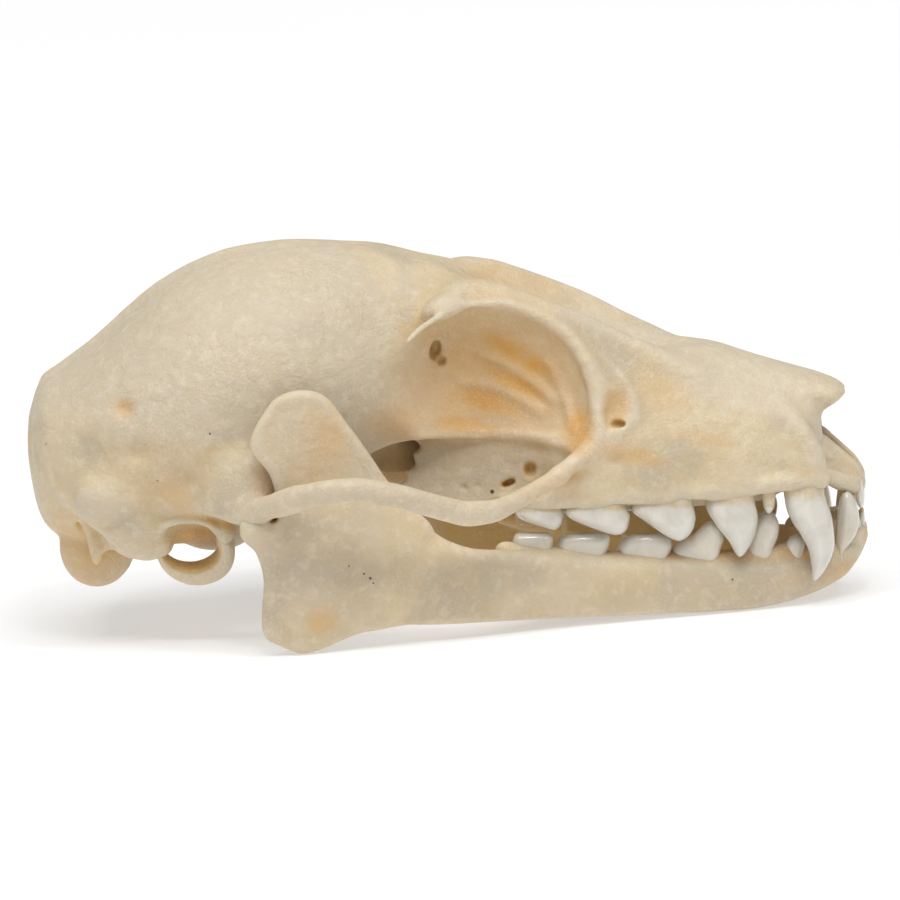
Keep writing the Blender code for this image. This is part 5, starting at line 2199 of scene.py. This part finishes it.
@dataclass
class Studio:
    """The pale floor, the soft lights and the camera at the photo's angle."""

    stand: Stand
    elevation: float = math.radians(10)
    distance: float = 1200.0
    view_width: float = 40.9
    aim: Point = (19.09, 0.0, 9.23)
    floor_size: float = 3.0
    paper: tuple[Point, Point] = ((0.60, 0.60, 0.60), (0.58, 0.58, 0.58))
    paper_noise: Noise = Noise(0.02, 2.0)
    paper_glow: float = 0.45
    surround: float = 0.3
    key_way: Point = (-0.02, -0.25, 0.96)
    key_strength: float = 1.58
    key_spread: float = 50.0
    glints: tuple[tuple[str, Point], ...] = (
        ("glint left", (-0.17, -0.22, 0.37)),
        ("glint middle", (0.03, -0.26, 0.37)),
        ("glint right", (0.2, -0.2, 0.35)),
    )
    glint_size: float = 0.07
    glint_power: float = 0.24
    glint_aim: Point = (0.0, 0.0, 0.01)

    def floor(self) -> None:
        """A wide pale floor under the skull."""
        half, level = self.floor_size / 2, self.stand.low.z
        mesh = bpy.data.meshes.new("floor")
        corners = [(-half, -half, level), (half, -half, level), (half, half, level), (-half, half, level)]
        mesh.from_pydata(corners, [], [(0, 1, 2, 3)])
        g = Graph("pale_floor")
        g.join(g.mixed(g.noise(g.places(), self.paper_noise), *self.paper), g.shader.inputs["Base Color"])
        g.fixed(Roughness=0.9, Specular_IOR_Level=0.1)
        g.fixed(Emission_Color=(1.0, 1.0, 1.0, 1.0), Emission_Strength=self.paper_glow)
        mesh.materials.append(g.material)
        floor = bpy.data.objects.new("floor", mesh)
        bpy.context.scene.collection.objects.link(floor)
        floor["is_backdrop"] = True

    def lamp(self, name: str, data: bpy.types.Light, place: Point, way: Vector) -> None:
        """Hangs up a light.

        Args:
            name: its name.
            data: what it gives.
            place: where it hangs.
            way: the way from what it lights to it.
        """
        lamp = bpy.data.objects.new(name, data)
        bpy.context.scene.collection.objects.link(lamp)
        lamp.location = place
        lamp.rotation_euler = way.to_track_quat("Z", "Y").to_euler()

    def lights(self) -> None:
        """An even white surround, a broad key from above the camera and three small lights for the glints."""
        world = bpy.data.worlds.new("surround")
        world.use_nodes = True
        background = world.node_tree.nodes["Background"]
        background.inputs["Color"].default_value = (1.0, 1.0, 1.0, 1.0)
        background.inputs["Strength"].default_value = self.surround
        bpy.context.scene.world = world
        key = bpy.data.lights.new("key", "SUN")
        key.energy = self.key_strength
        key.angle = math.radians(self.key_spread)
        self.lamp("key", key, (0.0, 0.0, 0.0), Vector(self.key_way))
        for name, place in self.glints:
            glint = bpy.data.lights.new(name, "AREA")
            glint.shape = "SQUARE"
            glint.size = self.glint_size
            glint.energy = self.glint_power
            self.lamp(name, glint, place, Vector(place) - Vector(self.glint_aim))

    def camera(self) -> None:
        """A long lens that looks along the skull's own level, turned with its resting pose."""
        data = bpy.data.cameras.new("camera")
        data.sensor_width = 36.0
        data.lens = data.sensor_width * self.distance / self.view_width
        camera = bpy.data.objects.new("camera", data)
        bpy.context.scene.collection.objects.link(camera)
        turn = Matrix.Rotation(self.stand.pitch, 3, "Y")
        side = turn @ Vector((1, 0, 0))
        back = turn @ Vector((0, -math.cos(self.elevation), math.sin(self.elevation)))
        up = turn @ Vector((0, math.sin(self.elevation), math.cos(self.elevation)))
        view = Matrix((side, up, back)).transposed().to_4x4()
        view.translation = self.stand.place(self.aim) + back * self.distance * MM
        camera.matrix_world = view
        bpy.context.scene.camera = camera

    def build(self) -> None:
        """Everything round the skull."""
        self.floor()
        self.lights()
        self.camera()
        bpy.context.scene.view_settings.view_transform = "Standard"


def main() -> None:
    """Builds every piece in order, sets the skull down and dresses it."""
    logging.basicConfig(level=logging.INFO, format="%(name)s: %(message)s")
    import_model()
    low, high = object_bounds()
    makers = (
        Cranium(),
        Premaxilla(),
        TympanicRing(),
        Mandible(),
        ToothRow("upper_teeth", UPPER_TEETH),
        ToothRow("lower_teeth", LOWER_TEETH, yellowed=0.25),
    )
    pieces = [piece for maker in makers for piece in maker.pieces()]
    stand = Stand(low, high)
    stand.settle(pieces)
    bone, enamel = BoneFinish("bone", PORES), EnamelFinish("enamel")
    finishes = {Sheen.BONE: bone.build(stand), Sheen.ENAMEL: enamel.build(stand)}
    for piece in pieces:
        obj = stand.put(piece, finishes[piece.sheen])
        log.info("%s: %d faces", obj.name, len(obj.data.polygons))
    Studio(stand).build()


if __name__ == "__main__":
    main()
